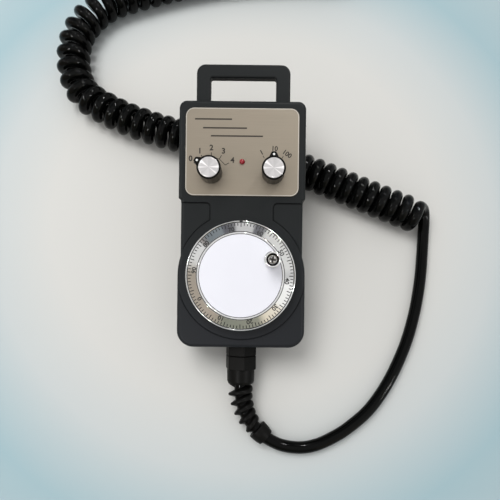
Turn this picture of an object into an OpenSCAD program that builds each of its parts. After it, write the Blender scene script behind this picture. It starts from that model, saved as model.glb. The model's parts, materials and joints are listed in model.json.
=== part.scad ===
// Hand-held pulse generator pendant: a handwheel with a click-stop dial, two selector
// switches and a curly cord. The housing is drawn in its own frame, with the dial's axis
// as Z and the back as Z = 0, and is then leaned back on its cord by placed().

/* [Housing] */
// Width of the panel block at the top
panel_w = 90; // [86:1:96]
// Width of the narrow waist between panel and dial
waist_w = 86.6; // [84:0.5:88]
// Width of the housing round the dial
dial_block_w = 90.8; // [88:0.5:96]
// Distance from the dial's axis to the top edge
top_reach = 124; // [121:0.5:130]
// Distance from the dial's axis to the bottom edge
bottom_reach = 51; // [48:0.5:56]
// Distance from the dial's axis to the step below the panel block
step_reach = 54; // [50:0.5:55]
// Depth of the housing from the back to the raised face
depth = 40; // [38:0.5:46]
// Height of the joint between the two shells above the back
seam_h = 10; // [8:0.5:11]
// Wall thickness of both shells
wall = 2.5; // [2:0.1:3]
// Rounding of the outer edges
edge_r = 3; // [1.5:0.5:4]
// Corner radius at the top of the panel block
top_corner_r = 5.5; // [4:0.5:8]
// Corner radius at the bottom of the housing
bottom_corner_r = 11.7; // [6:0.5:14]
// Height of the raised panel, bridge and dial band above the rest of the face
relief = 1; // [0.6:0.1:1.4]
// Width of the raised bridge between panel and dial band
bridge_w = 44; // [30:1:50]
// Thickness of the seal between the shells
seal_t = 0.8; // [0.5:0.1:1.2]

/* [Carrying loop] */
// Outer width of the loop
loop_w = 68; // [60:1:76]
// Height of the loop above the top edge
loop_h = 30.5; // [27:0.5:36]
// Thickness of the loop
loop_t = 8; // [7:0.5:10]
// Width of each side bar
loop_side = 10.2; // [8:0.1:12]
// Width of the top bar
loop_top = 9; // [8:0.5:11]
// Distance of the loop's front below the raised face
loop_drop = 9; // [7:0.5:12]
// Outer corner radius of the loop
loop_corner_r = 5; // [3:0.5:7]

/* [Faceplate] */
// Width of the faceplate
plate_w = 80; // [76:1:82]
// Height of the faceplate
plate_h = 62; // [58:1:63]
// Thickness of the faceplate
plate_t = 1; // [0.8:0.1:1.5]
// Corner radius of the faceplate
plate_corner_r = 6; // [3:0.5:8]
// Height of the faceplate's centre above the dial's axis
plate_y = 87.1; // [86:0.1:88]

/* [Selectors] */
// Distance of each selector from the centre line
selector_x = 21.75; // [19:0.25:23]
// Height of the selectors above the dial's axis
selector_y = 72.1; // [71:0.1:74]
// Diameter of the fluted knob
knob_d = 16; // [15:0.5:19]
// Height of the knob above the faceplate
knob_h = 18.6; // [16:0.2:21]
// Reach of the pointer nose from the knob's axis
pointer_reach = 11.6; // [10.5:0.1:12.5]
// Diameter of the aluminium disc on the knob
cap_d = 14; // [12:0.5:14.5]
// Shaft diameter of the rotary switches
selector_shaft_d = 5; // [4:0.5:5]
// Diameter of the switch's threaded neck
neck_d = 8; // [7.5:0.5:8.5]
// Side of the square switch can
can_w = 24; // [20:1:26]
// Depth of the switch can
can_h = 15; // [13:0.5:15.5]
// Angle of the left pointer from straight up at rest
axis_rest_angle = 60; // [0:30:60]

/* [Signal lamp] */
// Height of the lamp above the dial's axis
lamp_y = 80.1; // [78:0.1:84]
// Diameter of the lamp's lens
lamp_d = 3.8; // [3:0.1:4.4]

/* [Dial] */
// Outer diameter of the fixed chrome rim
rim_d = 76; // [72:0.5:80]
// Wall of the fixed rim
rim_t = 1.7; // [1.2:0.1:2.2]
// Height of the fixed rim above the raised face
rim_h = 9; // [8:0.25:11]
// Running gap between the rim and the turning ring
dial_gap = 0.2; // [0.1:0.05:0.4]
// Diameter of the flat disc in the middle
disc_d = 57; // [52:0.5:60]
// Width of the lip round the disc
lip_w = 1.2; // [0.8:0.1:1.6]
// Distance of the finger knob from the dial's axis
finger_reach = 24; // [17:0.5:24]
// Direction of the finger knob from +X at rest
finger_angle = 26.6; // [0:0.1:90]
// Diameter of the finger knob
finger_d = 11; // [10:0.5:12]
// Length of the finger knob
finger_h = 16; // [13:0.5:20]

/* [Pulse encoder] */
// Spindle diameter
spindle_d = 8; // [7:0.5:8.5]
// Outer diameter of the two ball bearings
bearing_d = 16; // [15.5:0.5:17]
// Width of each bearing
bearing_w = 5; // [4:0.5:5.5]
// Outer diameter of the encoder cup
cup_d = 58; // [56:1:62]
// Depth of the encoder cup behind the face wall
cup_h = 19.5; // [18.5:0.25:20]
// Diameter of the fixing flange
flange_d = 72; // [70:1:76]
// Thickness of the fixing flange
flange_t = 2.5; // [2:0.1:3]
// Number of clicks in one turn
clicks = 100; // [50:50:100]

/* [Cable gland] */
// Width across the flats of the gland
gland_af = 20.5; // [19:0.5:22]
// Height of the gland's axis above the back
gland_z = 20; // [18:0.5:22]
// Length of the gland's hexagon base
gland_base_l = 7.9; // [6:0.1:9]
// Length of the clamping nut's hexagon
gland_nut_l = 10.4; // [9:0.1:12]
// Length of the clamping nut's dome
gland_dome_l = 10.4; // [8:0.1:12]
// Thread diameter of the gland
gland_thread_d = 16; // [14:0.5:17]

/* [Cord] */
// Diameter of the cord
cord_d = 9; // [8:0.1:9.4]
// Outer diameter of the curly part
curl_d = 28; // [24:0.5:30]
// Distance from the housing's resting edge to the curly part that carries it
rest_lever = 136; // [125:1:150]

/* [Plug] */
// Diameter of the coupling ring
ring_d = 24; // [22:0.5:26]
// Diameter of the plug's mouth
mouth_d = 17; // [15:0.5:18]
// Depth of the free mouth in front of the insert
mouth_l = 8; // [6:0.5:10]
// Length of the plug without its clamp
plug_l = 34; // [30:1:40]
// Number of contacts
contacts = 12; // [6:1:12]

/* [Hidden] */
$fn = 64;
eps = 0.01;
// Gap between parts that turn or slide on each other
run_fit = 0.05;
// Gap between parts that only have to go together
part_gap = 0.3;

// Heights in the housing's frame
low_face_z = depth - relief;
inner_z = low_face_z - wall;
plate_top_z = depth + plate_t;
front_shell_z = seam_h + seal_t / 2;
back_shell_h = seam_h - seal_t / 2;
plate_margin = 4.6;
panel_edge_y = plate_y - plate_h / 2 - plate_margin;
band_margin = 0.6;
band_r = dial_block_w / 2 - band_margin;

// Lean of the housing on its cord, and the placing of the origin below its middle
lean = 2 * atan((curl_d / 2 + part_gap) / rest_lever);
lift = (bottom_reach - edge_r) * sin(lean) - edge_r * cos(lean) + edge_r;
loop_front_z = depth - loop_drop;
loop_back_z = loop_front_z - loop_t;
loop_edge_r = 1.5;
gland_nut_gap = 0.2;
gland_taper = 1.2;
gland_l = gland_base_l + gland_nut_gap + gland_nut_l + gland_dome_l;
gland_end_r = gland_af / 2 - gland_taper;
far_y = (top_reach + loop_h - loop_edge_r) * cos(lean) - (loop_back_z + loop_edge_r) * sin(lean)
    + loop_edge_r;
near_y = -(bottom_reach + gland_l) * cos(lean) - (gland_z + gland_end_r) * sin(lean);
middle_y = (far_y + near_y) / 2;

module placed() {
    translate([0, -middle_y, lift]) rotate([lean, 0, 0]) children();
}

// A point of the housing's frame in the part's own frame
function seated(p) = [p[0], p[1] * cos(lean) - p[2] * sin(lean) - middle_y,
    p[1] * sin(lean) + p[2] * cos(lean) + lift];

module tube(r_out, r_in, h) {
    difference() {
        cylinder(r = r_out, h = h);
        translate([0, 0, -1]) cylinder(r = r_in, h = h + 2);
    }
}

module hexagon(af, h) {
    cylinder(d = af / cos(30), h = h, $fn = 6);
}

module rounded_rect(w, h, r) {
    square([w - 2 * r, h], center = true);
    square([w, h - 2 * r], center = true);
    for (x = [-1, 1]) for (y = [-1, 1]) translate([x * (w / 2 - r), y * (h / 2 - r)]) circle(r = r);
}

// Outline of the housing in three blocks, each pulled in by an inset
waist_overlap = 6;
min_corner_r = 0.5;
module panel_outline(inset) {
    low = step_reach + inset;
    high = top_reach - inset;
    w = panel_w - 2 * inset;
    r = max(top_corner_r - inset, min_corner_r);
    translate([-w / 2, low]) square([w, high - low - r]);
    translate([-w / 2 + r, low]) square([w - 2 * r, high - low]);
    for (x = [-1, 1]) translate([x * (w / 2 - r), high - r]) circle(r = r);
}

module waist_outline(inset) {
    w = waist_w - 2 * inset;
    low = inset - waist_overlap;
    high = step_reach + edge_r + waist_overlap - inset;
    translate([-w / 2, low]) square([w, high - low]);
}

module dial_block_outline(inset) {
    w = dial_block_w - 2 * inset;
    low = -bottom_reach + inset;
    r = max(bottom_corner_r - inset, min_corner_r);
    translate([-w / 2, low + r]) square([w, -low - r]);
    translate([-w / 2 + r, low]) square([w - 2 * r, -low]);
    for (x = [-1, 1]) translate([x * (w / 2 - r), low + r]) circle(r = r);
    circle(d = w);
}

module outline(inset) {
    panel_outline(inset);
    waist_outline(inset);
    dial_block_outline(inset);
}

// One block of the outline with its upper edge rounded in four steps, one child for each
round_step = 22.5;
function round_in(i) = edge_r * (1 - cos(i * round_step));

module rounded_block(h) {
    hull() for (i = [0 : 4]) linear_extrude(h - edge_r + edge_r * sin(i * round_step)) children(i);
}

module blocks(h) {
    rounded_block(h) {
        panel_outline(round_in(0));
        panel_outline(round_in(1));
        panel_outline(round_in(2));
        panel_outline(round_in(3));
        panel_outline(round_in(4));
    }
    rounded_block(h) {
        waist_outline(round_in(0));
        waist_outline(round_in(1));
        waist_outline(round_in(2));
        waist_outline(round_in(3));
        waist_outline(round_in(4));
    }
    rounded_block(h) {
        dial_block_outline(round_in(0));
        dial_block_outline(round_in(1));
        dial_block_outline(round_in(2));
        dial_block_outline(round_in(3));
        dial_block_outline(round_in(4));
    }
}

// Places of the four shell screws
post_r = 3.6;
post_sunk = 1;
post_in = wall + post_r - post_sunk;
low_post_in = post_in + 3;
screw_places = [[panel_w / 2 - post_in, top_reach - post_in],
    [-panel_w / 2 + post_in, top_reach - post_in],
    [dial_block_w / 2 - low_post_in, -bottom_reach + low_post_in],
    [-dial_block_w / 2 + low_post_in, -bottom_reach + low_post_in]];
screw_r = 1.5;
screw_low_z = 0.5;
slot_w = 0.8;
slot_l = 3.2;
slot_depth = 1.2;
screw_head_r = 2.75;
screw_head_h = 2.4;
screw_l = 24;

// Length of the loop's bars inside the housing
loop_root = 8;

module carrying_loop() {
    mid_y = top_reach + (loop_h - loop_root) / 2;
    h = loop_h + loop_root;
    translate([0, mid_y, loop_back_z]) hull() for (a = [0 : 30 : 90]) {
        inset = loop_edge_r * (1 - cos(a));
        rise = loop_edge_r * (1 - sin(a));
        translate([0, 0, rise]) linear_extrude(loop_t - 2 * rise)
            rounded_rect(loop_w - 2 * inset, h - 2 * inset, loop_corner_r - inset);
    }
}

window_w = loop_w - 2 * loop_side;
window_h = loop_h - loop_top;
window_corner_r = 1.5;

module face_recess() {
    translate([0, 0, low_face_z]) linear_extrude(relief + 1) difference() {
        translate([-panel_w, -bottom_reach - 5]) square([2 * panel_w, bottom_reach + 5 + panel_edge_y]);
        circle(r = band_r);
        translate([-bridge_w / 2, 0]) square([bridge_w, panel_edge_y + 1]);
    }
}

neck_hole_r = neck_d / 2 + run_fit;
boss_wall = 3;
boss_r = bearing_d / 2 + boss_wall;
holder_wall = 1.1;
lamp_hole_r = lamp_d / 2 + holder_wall;
encoder_screw_r = 1.5;
encoder_head_r = 2.5;
encoder_head_h = 2;
encoder_screw_pcr = (flange_d + cup_d) / 4;
encoder_screw_angles = [90, 210, 330];

module front_shell() color([0.16, 0.17, 0.17]) placed() difference() {
    union() {
        difference() {
            blocks(depth);
            translate([0, 0, -1]) linear_extrude(front_shell_z + 1)
                square([4 * panel_w, 4 * top_reach], center = true);
            face_recess();
            translate([0, 0, -1]) linear_extrude(inner_z + 1) outline(wall);
        }
        difference() {
            carrying_loop();
            translate([0, 0, -1]) linear_extrude(depth) outline(wall / 2);
        }
        intersection() {
            translate([0, 0, front_shell_z]) linear_extrude(inner_z - front_shell_z + 0.5) outline(wall / 2);
            for (p = screw_places) translate([p[0], p[1], front_shell_z])
                cylinder(r = post_r, h = inner_z - front_shell_z + 0.5);
        }
    }
    translate([0, top_reach + window_h / 2, 0]) linear_extrude(depth)
        rounded_rect(window_w, window_h, window_corner_r);
    for (p = screw_places) translate([p[0], p[1], 0]) cylinder(r = screw_r + run_fit, h = screw_l + 2);
    for (x = [-1, 1]) translate([x * selector_x, selector_y, inner_z - 1])
        cylinder(r = neck_hole_r, h = wall + relief + 2);
    translate([0, 0, inner_z - 1]) cylinder(r = boss_r + run_fit, h = wall + relief + 2);
    translate([0, lamp_y, inner_z - 1]) cylinder(r = lamp_hole_r, h = wall + relief + 2);
    for (a = encoder_screw_angles) rotate([0, 0, a]) translate([encoder_screw_pcr, 0, inner_z - 1])
        cylinder(r = encoder_screw_r + run_fit, h = wall + relief);
    translate([0, -bottom_reach + 2 * wall, gland_z]) rotate([90, 0, 0])
        cylinder(d = gland_thread_d + 2 * run_fit, h = 3 * wall);
}

module back_shell() color([0.15, 0.15, 0.16]) placed() difference() {
    union() {
        difference() {
            translate([0, 0, depth]) mirror([0, 0, 1]) blocks(depth);
            translate([0, 0, back_shell_h]) linear_extrude(depth)
                square([4 * panel_w, 4 * top_reach], center = true);
            translate([0, 0, wall]) linear_extrude(depth) outline(wall);
        }
        intersection() {
            translate([0, 0, wall - 0.5]) linear_extrude(back_shell_h - wall + 0.5) outline(wall / 2);
            for (p = screw_places) translate([p[0], p[1], 0]) cylinder(r = post_r, h = back_shell_h);
        }
    }
    for (p = screw_places) translate([p[0], p[1], -1]) {
        cylinder(r = screw_r + run_fit, h = depth);
        cylinder(r = screw_head_r + part_gap, h = 1 + screw_low_z + screw_head_h);
    }
}

// Distance of the seal from both faces of the wall
seal_in = 0.3;

module shell_seal() color([0.05, 0.05, 0.05]) placed() translate([0, 0, back_shell_h]) difference() {
    linear_extrude(seal_t) outline(seal_in);
    translate([0, 0, -1]) linear_extrude(seal_t + 2) outline(wall - seal_in);
}

module shell_screws() color([0.6, 0.6, 0.6]) placed() for (p = screw_places) {
    translate([p[0], p[1], screw_low_z]) difference() {
        union() {
            cylinder(r = screw_head_r, h = screw_head_h);
            cylinder(r = screw_r, h = screw_l);
        }
        for (a = [0, 90]) rotate([0, 0, a]) translate([-slot_l / 2, -slot_w / 2, -1])
            cube([slot_l, slot_w, slot_depth + 1]);
    }
}

plate_bevel = 0.4;

module face_plate() color([0.65, 0.6, 0.53]) placed() translate([0, 0, depth]) difference() {
    union() {
        translate([0, plate_y]) linear_extrude(plate_t - plate_bevel)
            rounded_rect(plate_w, plate_h, plate_corner_r);
        translate([0, plate_y]) linear_extrude(plate_t) rounded_rect(plate_w - 2 * plate_bevel,
            plate_h - 2 * plate_bevel, plate_corner_r - plate_bevel);
    }
    for (x = [-1, 1]) translate([x * selector_x, selector_y, -1]) cylinder(r = neck_hole_r, h = plate_t + 2);
    translate([0, lamp_y, -1]) cylinder(r = lamp_d / 2 + run_fit, h = plate_t + 2);
}

// The lamp: rise of its body over the faceplate, depth behind the face wall, foot and legs
lamp_rise = 0.4;
lamp_back = 3;
lamp_foot_t = 1;
lamp_leg_x = 0.9;
lamp_leg_r = 0.3;

module lamp_lens() color([0.7, 0.05, 0.1]) placed() translate([0, lamp_y, 0]) {
    top = plate_top_z + lamp_rise;
    translate([0, 0, inner_z - lamp_back]) cylinder(d = lamp_d, h = top - inner_z + lamp_back);
    translate([0, 0, top]) intersection() {
        sphere(d = lamp_d);
        cylinder(d = lamp_d, h = lamp_d);
    }
    translate([0, 0, inner_z - lamp_back - lamp_foot_t])
        cylinder(d = lamp_d + lamp_foot_t, h = lamp_foot_t);
    for (x = [-1, 1]) translate([x * lamp_leg_x, 0, board_top_z])
        cylinder(r = lamp_leg_r, h = inner_z - lamp_back - lamp_foot_t - board_top_z);
}

module lamp_holder() color([0.08, 0.08, 0.08]) placed() translate([0, lamp_y, inner_z - lamp_back])
    tube(lamp_hole_r - run_fit, lamp_d / 2 + run_fit, depth - inner_z + lamp_back);

// The dial's rim, ring and hub, from the raised face up
rim_r = rim_d / 2;
ring_r = rim_r - rim_t - dial_gap;
rim_top_z = depth + rim_h;
disc_r = disc_d / 2;
disc_t = 0.4;
disc_rise = 1.1;
disc_top_z = rim_top_z + disc_rise;
disc_seat_z = disc_top_z - disc_t;
lip_r = disc_r + 0.2;
lip_rise = 0.5;
lip_top_z = disc_top_z + lip_rise;
ring_low_z = depth + 3;
boss_top_z = depth + 5;
hub_r = 9;
hub_web_t = 1.5;
seat_ring_w = 1.2;
skirt_t = 1.8;
hub_nut_af = 13;
hub_nut_h = 2;
hub_low_z = boss_top_z + 1;
hub_nut_z = disc_seat_z - hub_nut_h - 0.1;
spindle_r = spindle_d / 2;
finger_p = [finger_reach * cos(finger_angle), finger_reach * sin(finger_angle), 0];
finger_low_z = lip_top_z + part_gap;
finger_axle_r = 2;
finger_head_r = 3.4;
finger_head_h = 2.2;
finger_head_sunk = 0.5;
finger_slot_l = 4;
finger_slot_w = 0.9;
finger_wall = 1.4;
finger_sleeve_r = finger_d / 2 - finger_wall;
finger_waist = 0.6;
rim_foot_w = 3;
rim_foot_t = 1.5;
chamfer = 0.4;
mark_w = 1.9;
mark_t = 0.3;

module dial_rim() color([0.8, 0.8, 0.82]) placed() difference() {
    rotate_extrude($fn = 128) polygon([[rim_r - rim_t - rim_foot_w, depth], [rim_r, depth],
        [rim_r, rim_top_z - chamfer], [rim_r - chamfer, rim_top_z],
        [rim_r - rim_t + chamfer, rim_top_z], [rim_r - rim_t, rim_top_z - chamfer],
        [rim_r - rim_t, depth + rim_foot_t], [rim_r - rim_t - rim_foot_w, depth + rim_foot_t]]);
    translate([0, rim_r - rim_t / 2, rim_top_z]) cube([mark_w, rim_t - chamfer, 2 * mark_t], center = true);
}

module index_mark() color([0.05, 0.05, 0.05]) placed()
    translate([0, rim_r - rim_t / 2, rim_top_z - mark_t / 2])
        cube([mark_w, rim_t - chamfer, mark_t], center = true);

module dial_ring() color([0.85, 0.85, 0.87]) placed() difference() {
    rotate_extrude($fn = 128) polygon([[spindle_r, boss_top_z], [spindle_r + seat_ring_w, boss_top_z],
        [spindle_r + seat_ring_w, hub_low_z], [hub_r, hub_low_z], [hub_r, hub_low_z + hub_web_t],
        [disc_r - 1, hub_low_z + hub_web_t], [ring_r - skirt_t - 1, hub_low_z + hub_web_t - 1],
        [ring_r - skirt_t, ring_low_z], [ring_r, ring_low_z], [ring_r, rim_top_z - chamfer],
        [lip_r + lip_w, lip_top_z], [lip_r, lip_top_z], [lip_r, disc_seat_z], [spindle_r, disc_seat_z]]);
    translate([0, 0, hub_nut_z]) cylinder(d = hub_nut_af / cos(30) + 1, h = hub_nut_h + 1);
    translate(finger_p) translate([0, 0, ring_low_z]) cylinder(r = finger_axle_r + eps, h = rim_h);
}

module dial_disc() color([0.93, 0.93, 0.96]) placed() difference() {
    translate([0, 0, disc_seat_z]) cylinder(r = disc_r, h = disc_t, $fn = 128);
    translate(finger_p) cylinder(r = finger_axle_r + run_fit, h = 2 * depth);
}

spindle_low_z = inner_z - cup_h + 1;
module spindle() color([0.7, 0.7, 0.72]) placed() translate([0, 0, spindle_low_z])
    cylinder(r = spindle_r - eps, h = disc_seat_z - spindle_low_z - 0.1);

module hub_nut() color([0.6, 0.6, 0.55]) placed() translate([0, 0, hub_nut_z])
    difference() {
        hexagon(hub_nut_af, hub_nut_h);
        translate([0, 0, -1]) cylinder(r = spindle_r, h = hub_nut_h + 2);
    }

module finger_knob_screw() color([0.62, 0.62, 0.64]) placed() translate(finger_p) difference() {
    head_z = finger_low_z + finger_h - finger_head_h - finger_head_sunk;
    union() {
        translate([0, 0, hub_low_z + 0.5]) cylinder(r = finger_axle_r, h = head_z - hub_low_z);
        translate([0, 0, head_z]) cylinder(r = finger_head_r, h = finger_head_h);
    }
    for (a = [0, 90]) rotate([0, 0, a])
        translate([-finger_slot_l / 2, -finger_slot_w / 2, head_z + finger_head_h - slot_depth])
            cube([finger_slot_l, finger_slot_w, 2 * slot_depth]);
}

module finger_knob() color([0.85, 0.85, 0.87]) placed() translate(finger_p)
    translate([0, 0, finger_low_z]) rotate_extrude() polygon([[finger_sleeve_r, 0],
        [finger_d / 2 - chamfer, 0], [finger_d / 2, chamfer], [finger_d / 2 - finger_waist, finger_h * 0.35],
        [finger_d / 2 - finger_waist, finger_h * 0.6], [finger_d / 2, finger_h - chamfer],
        [finger_d / 2 - chamfer, finger_h], [finger_sleeve_r, finger_h]]);

module finger_knob_bush() color([0.06, 0.06, 0.06]) placed() translate(finger_p)
    translate([0, 0, finger_low_z])
        tube(finger_sleeve_r, finger_axle_r + run_fit,
            finger_h - finger_head_h - finger_head_sunk - part_gap);

// Pulse encoder behind the face wall
cup_r = cup_d / 2;
cup_wall = 2;
cup_low_z = inner_z - cup_h;
boss_low_z = cup_low_z + 5;
cover_t = 2;
board_t = 1.2;
code_z = cup_low_z + 1.8;
code_t = 0.5;
code_r = cup_r - cup_wall - 3;
wheel_z = code_z + code_t + 0.5;
wheel_t = 1.8;
wheel_r = code_r - 4;
bearing_r = bearing_d / 2;
front_bearing_z = boss_top_z - bearing_w;
ring_wall = 1.1;
bearing_ledge = 1.5;
ball_r = (bearing_r - spindle_r) / 2 - ring_wall - run_fit;

module encoder_cup() color([0.25, 0.25, 0.27]) placed() difference() {
    union() {
        translate([0, 0, inner_z - flange_t]) cylinder(d = flange_d, h = flange_t);
        translate([0, 0, cup_low_z]) cylinder(r = cup_r, h = cup_h);
        translate([0, 0, boss_low_z]) cylinder(r = boss_r, h = boss_top_z - boss_low_z);
    }
    translate([0, 0, cup_low_z - 1]) difference() {
        cylinder(r = cup_r - cup_wall, h = cup_h - cup_wall + 1);
        translate([0, 0, boss_low_z - cup_low_z + 1]) cylinder(r = boss_r, h = cup_h + 1);
    }
    translate([0, 0, boss_low_z - 1]) cylinder(r = bearing_r, h = bearing_w + 1);
    translate([0, 0, front_bearing_z]) cylinder(r = bearing_r, h = bearing_w + 1);
    cylinder(r = bearing_r - bearing_ledge, h = 2 * depth);
    for (a = encoder_screw_angles) rotate([0, 0, a]) translate([encoder_screw_pcr, 0, inner_z - flange_t - 1])
        cylinder(r = encoder_screw_r + run_fit, h = flange_t + 2);
}

module encoder_cover() color([0.3, 0.3, 0.32]) placed() translate([0, 0, cup_low_z - cover_t])
    cylinder(r = cup_r, h = cover_t);

module encoder_screws() color([0.6, 0.6, 0.6]) placed() for (a = encoder_screw_angles)
    rotate([0, 0, a]) translate([encoder_screw_pcr, 0, inner_z - flange_t]) {
        cylinder(r = encoder_screw_r, h = flange_t + wall + relief - 1.1);
        translate([0, 0, -encoder_head_h]) cylinder(r = encoder_head_r, h = encoder_head_h);
    }

module encoder_board() color([0.05, 0.3, 0.15]) placed() translate([0, 0, cup_low_z])
    tube(cup_r - cup_wall - run_fit, spindle_r + 4, board_t);

module optical_reader() color([0.06, 0.06, 0.06]) placed() translate([0, 0, cup_low_z + board_t])
    difference() {
        translate([code_r - 3, -3.5, 0]) cube([4.8, 7, 4]);
        translate([code_r - 4, -4, code_z - part_gap - cup_low_z - board_t])
            cube([4 + part_gap, 8, code_t + 2 * part_gap]);
    }

// Leaf from the cup's wall with its ball just clear of the toothed wheel
detent_ball_r = 1.5;
leaf_w = 6;
leaf_t = 0.9;

module detent_spring() color([0.7, 0.68, 0.6]) placed() {
    ball_x = -wheel_r - 0.2 - detent_ball_r;
    reach = sqrt(pow(cup_r - cup_wall, 2) - pow(leaf_w / 2, 2)) - 2 * eps;
    translate([-reach, -leaf_w / 2, wheel_z]) cube([reach + ball_x - 1, leaf_w, leaf_t]);
    translate([ball_x, 0, wheel_z + leaf_t]) sphere(r = detent_ball_r);
}

module bearing_outer_rings() color([0.7, 0.7, 0.72]) placed() for (z = [boss_low_z, front_bearing_z])
    translate([0, 0, z]) tube(bearing_r - eps, bearing_r - ring_wall, bearing_w);

module bearing_inner_rings() color([0.7, 0.7, 0.72]) placed() for (z = [boss_low_z, front_bearing_z])
    translate([0, 0, z]) tube(spindle_r + ring_wall, spindle_r, bearing_w);

module bearing_balls() color([0.8, 0.8, 0.82]) placed() for (z = [boss_low_z, front_bearing_z])
    for (a = [0 : 40 : 320]) rotate([0, 0, a])
        translate([(bearing_r + spindle_r) / 2, 0, z + bearing_w / 2]) sphere(r = ball_r, $fn = 24);

tooth_h = 0.6;

module detent_wheel() color([0.75, 0.7, 0.5]) placed() translate([0, 0, wheel_z]) difference() {
    linear_extrude(wheel_t) polygon([for (i = [0 : 2 * clicks - 1])
        (wheel_r - (i % 2) * tooth_h) * [cos(i * 180 / clicks), sin(i * 180 / clicks)]]);
    translate([0, 0, -1]) cylinder(r = spindle_r, h = wheel_t + 2);
}

window_t = 1.6;

module code_disc() color([0.6, 0.62, 0.65]) placed() translate([0, 0, code_z]) difference() {
    cylinder(r = code_r, h = code_t);
    translate([0, 0, -1]) cylinder(r = spindle_r, h = 2);
    for (a = [0 : 15 : 345]) rotate([0, 0, a]) translate([code_r - 2.6, -window_t / 2, -1])
        cube([1.8, window_t, 2]);
}

// Rotary switches, their knobs and the board behind them
can_low_z = inner_z - can_h;
neck_rise = 3.6;
neck_top_z = plate_top_z + neck_rise;
shaft_r = selector_shaft_d / 2;
nut_af = neck_d + 2;
nut_t = 2.2;
washer_t = 0.5;
knob_low_z = plate_top_z + 0.5;
knob_top_z = plate_top_z + knob_h;
knob_hollow_r = nut_af / 2 / cos(30) + 0.35;
knob_hollow_top_z = neck_top_z + 1;
cap_t = 0.6;
board_top_z = can_low_z - 2.9;
rotor_r = can_w / 2 - 3;
rotor_t = 2.5;
rotor_low_z = can_low_z + 3.2;
flute_r = 0.7;
flute_in = 0.9;
knob_head_h = 4;
nose_h = 3;
nose_root = [5.2, 4];
nose_tip_w = 3;
shaft_sunk = 3;

module switch_can(side) placed() translate([side * selector_x, selector_y, 0]) difference() {
    union() {
        translate([-can_w / 2, -can_w / 2, can_low_z]) cube([can_w, can_w, can_h]);
        translate([0, 0, inner_z - eps]) cylinder(d = neck_d, h = neck_top_z - inner_z + eps);
    }
    translate([0, 0, rotor_low_z - 0.2]) cylinder(r = shaft_r + run_fit, h = depth);
    translate([0, 0, rotor_low_z - 0.2]) cylinder(r = rotor_r + 0.5, h = rotor_t + 0.5);
}

module switch_nut(side) placed() translate([side * selector_x, selector_y, plate_top_z]) difference() {
    union() {
        cylinder(r = nut_af / 2 + 0.5, h = washer_t);
        translate([0, 0, washer_t - eps]) hexagon(nut_af, nut_t);
    }
    translate([0, 0, -1]) cylinder(d = neck_d + 2 * eps, h = nut_t + 3);
}

module switch_pins(side) placed() translate([side * selector_x, selector_y, board_top_z])
    for (a = [0 : 60 : 300]) rotate([0, 0, a])
        translate([can_w / 2 - 3, -0.6, 0]) cube([0.8, 1.2, can_low_z - board_top_z]);

module switch_shaft(side) placed() translate([side * selector_x, selector_y, 0]) {
    translate([0, 0, rotor_low_z]) cylinder(r = shaft_r, h = knob_top_z - shaft_sunk - rotor_low_z);
    translate([0, 0, rotor_low_z]) cylinder(r = rotor_r, h = rotor_t);
}

// Fluted skirt with a wedge-shaped pointer at the top, drawn with the pointer towards +Y
module selector_knob(side, angle) placed() translate([side * selector_x, selector_y, 0])
    rotate([0, 0, angle]) difference() {
        union() {
            skirt_h = knob_top_z - knob_low_z - knob_head_h + 0.5;
            translate([0, 0, knob_low_z]) cylinder(d = knob_d - 2 * (flute_in - 0.1), h = skirt_h);
            for (a = [0 : 20 : 340]) rotate([0, 0, a]) translate([knob_d / 2 - flute_in, 0, knob_low_z])
                cylinder(r = flute_r, h = skirt_h - 0.2, $fn = 24);
            translate([0, 0, knob_top_z - knob_head_h]) cylinder(d = knob_d, h = knob_head_h);
            translate([0, 0, knob_top_z - nose_h]) linear_extrude(nose_h)
                polygon([[-nose_root[0], nose_root[1]], [-nose_tip_w / 2, pointer_reach],
                    [nose_tip_w / 2, pointer_reach], nose_root]);
        }
        translate([0, 0, knob_low_z - 1]) cylinder(r = knob_hollow_r, h = knob_hollow_top_z - knob_low_z + 1);
        translate([0, 0, knob_low_z]) cylinder(r = shaft_r + eps, h = knob_top_z - shaft_sunk - knob_low_z);
        translate([0, 0, knob_top_z - cap_t]) cylinder(d = cap_d + 2 * eps, h = 2);
    }

module knob_cap(side) placed() translate([side * selector_x, selector_y, knob_top_z - cap_t])
    cylinder(d = cap_d, h = cap_t);

module axis_switch_can() color([0.2, 0.2, 0.22]) switch_can(-1);
module rate_switch_can() color([0.2, 0.2, 0.22]) switch_can(1);
module axis_switch_nut() color([0.7, 0.68, 0.6]) switch_nut(-1);
module rate_switch_nut() color([0.7, 0.68, 0.6]) switch_nut(1);
module axis_switch_pins() color([0.75, 0.7, 0.55]) switch_pins(-1);
module rate_switch_pins() color([0.75, 0.7, 0.55]) switch_pins(1);
module axis_shaft() color([0.7, 0.7, 0.7]) switch_shaft(-1);
module rate_shaft() color([0.7, 0.7, 0.7]) switch_shaft(1);
module axis_knob() color([0.08, 0.08, 0.08]) selector_knob(-1, axis_rest_angle);
module rate_knob() color([0.08, 0.08, 0.08]) selector_knob(1, 0);
module axis_knob_cap() color([0.82, 0.82, 0.84]) knob_cap(-1);
module rate_knob_cap() color([0.82, 0.82, 0.84]) knob_cap(1);

main_board_t = 1.6;
main_board_w = 2 * selector_x + can_w + 4;
block_h = 7;
block_y = selector_y - can_w / 2 + 4;

module main_board() color([0.05, 0.3, 0.15]) placed()
    translate([-main_board_w / 2, selector_y - can_w / 2 - 4, board_top_z - main_board_t])
        cube([main_board_w, can_w + 10, main_board_t]);

module terminal_block() color([0.1, 0.35, 0.2]) placed() difference() {
    translate([-15, block_y - 4, board_top_z - main_board_t - block_h]) cube([30, 8, block_h]);
    for (x = [-12 : 4 : 12]) translate([x, block_y, board_top_z - main_board_t - block_h - 1])
        cylinder(r = 1.3, h = 4);
}

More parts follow.
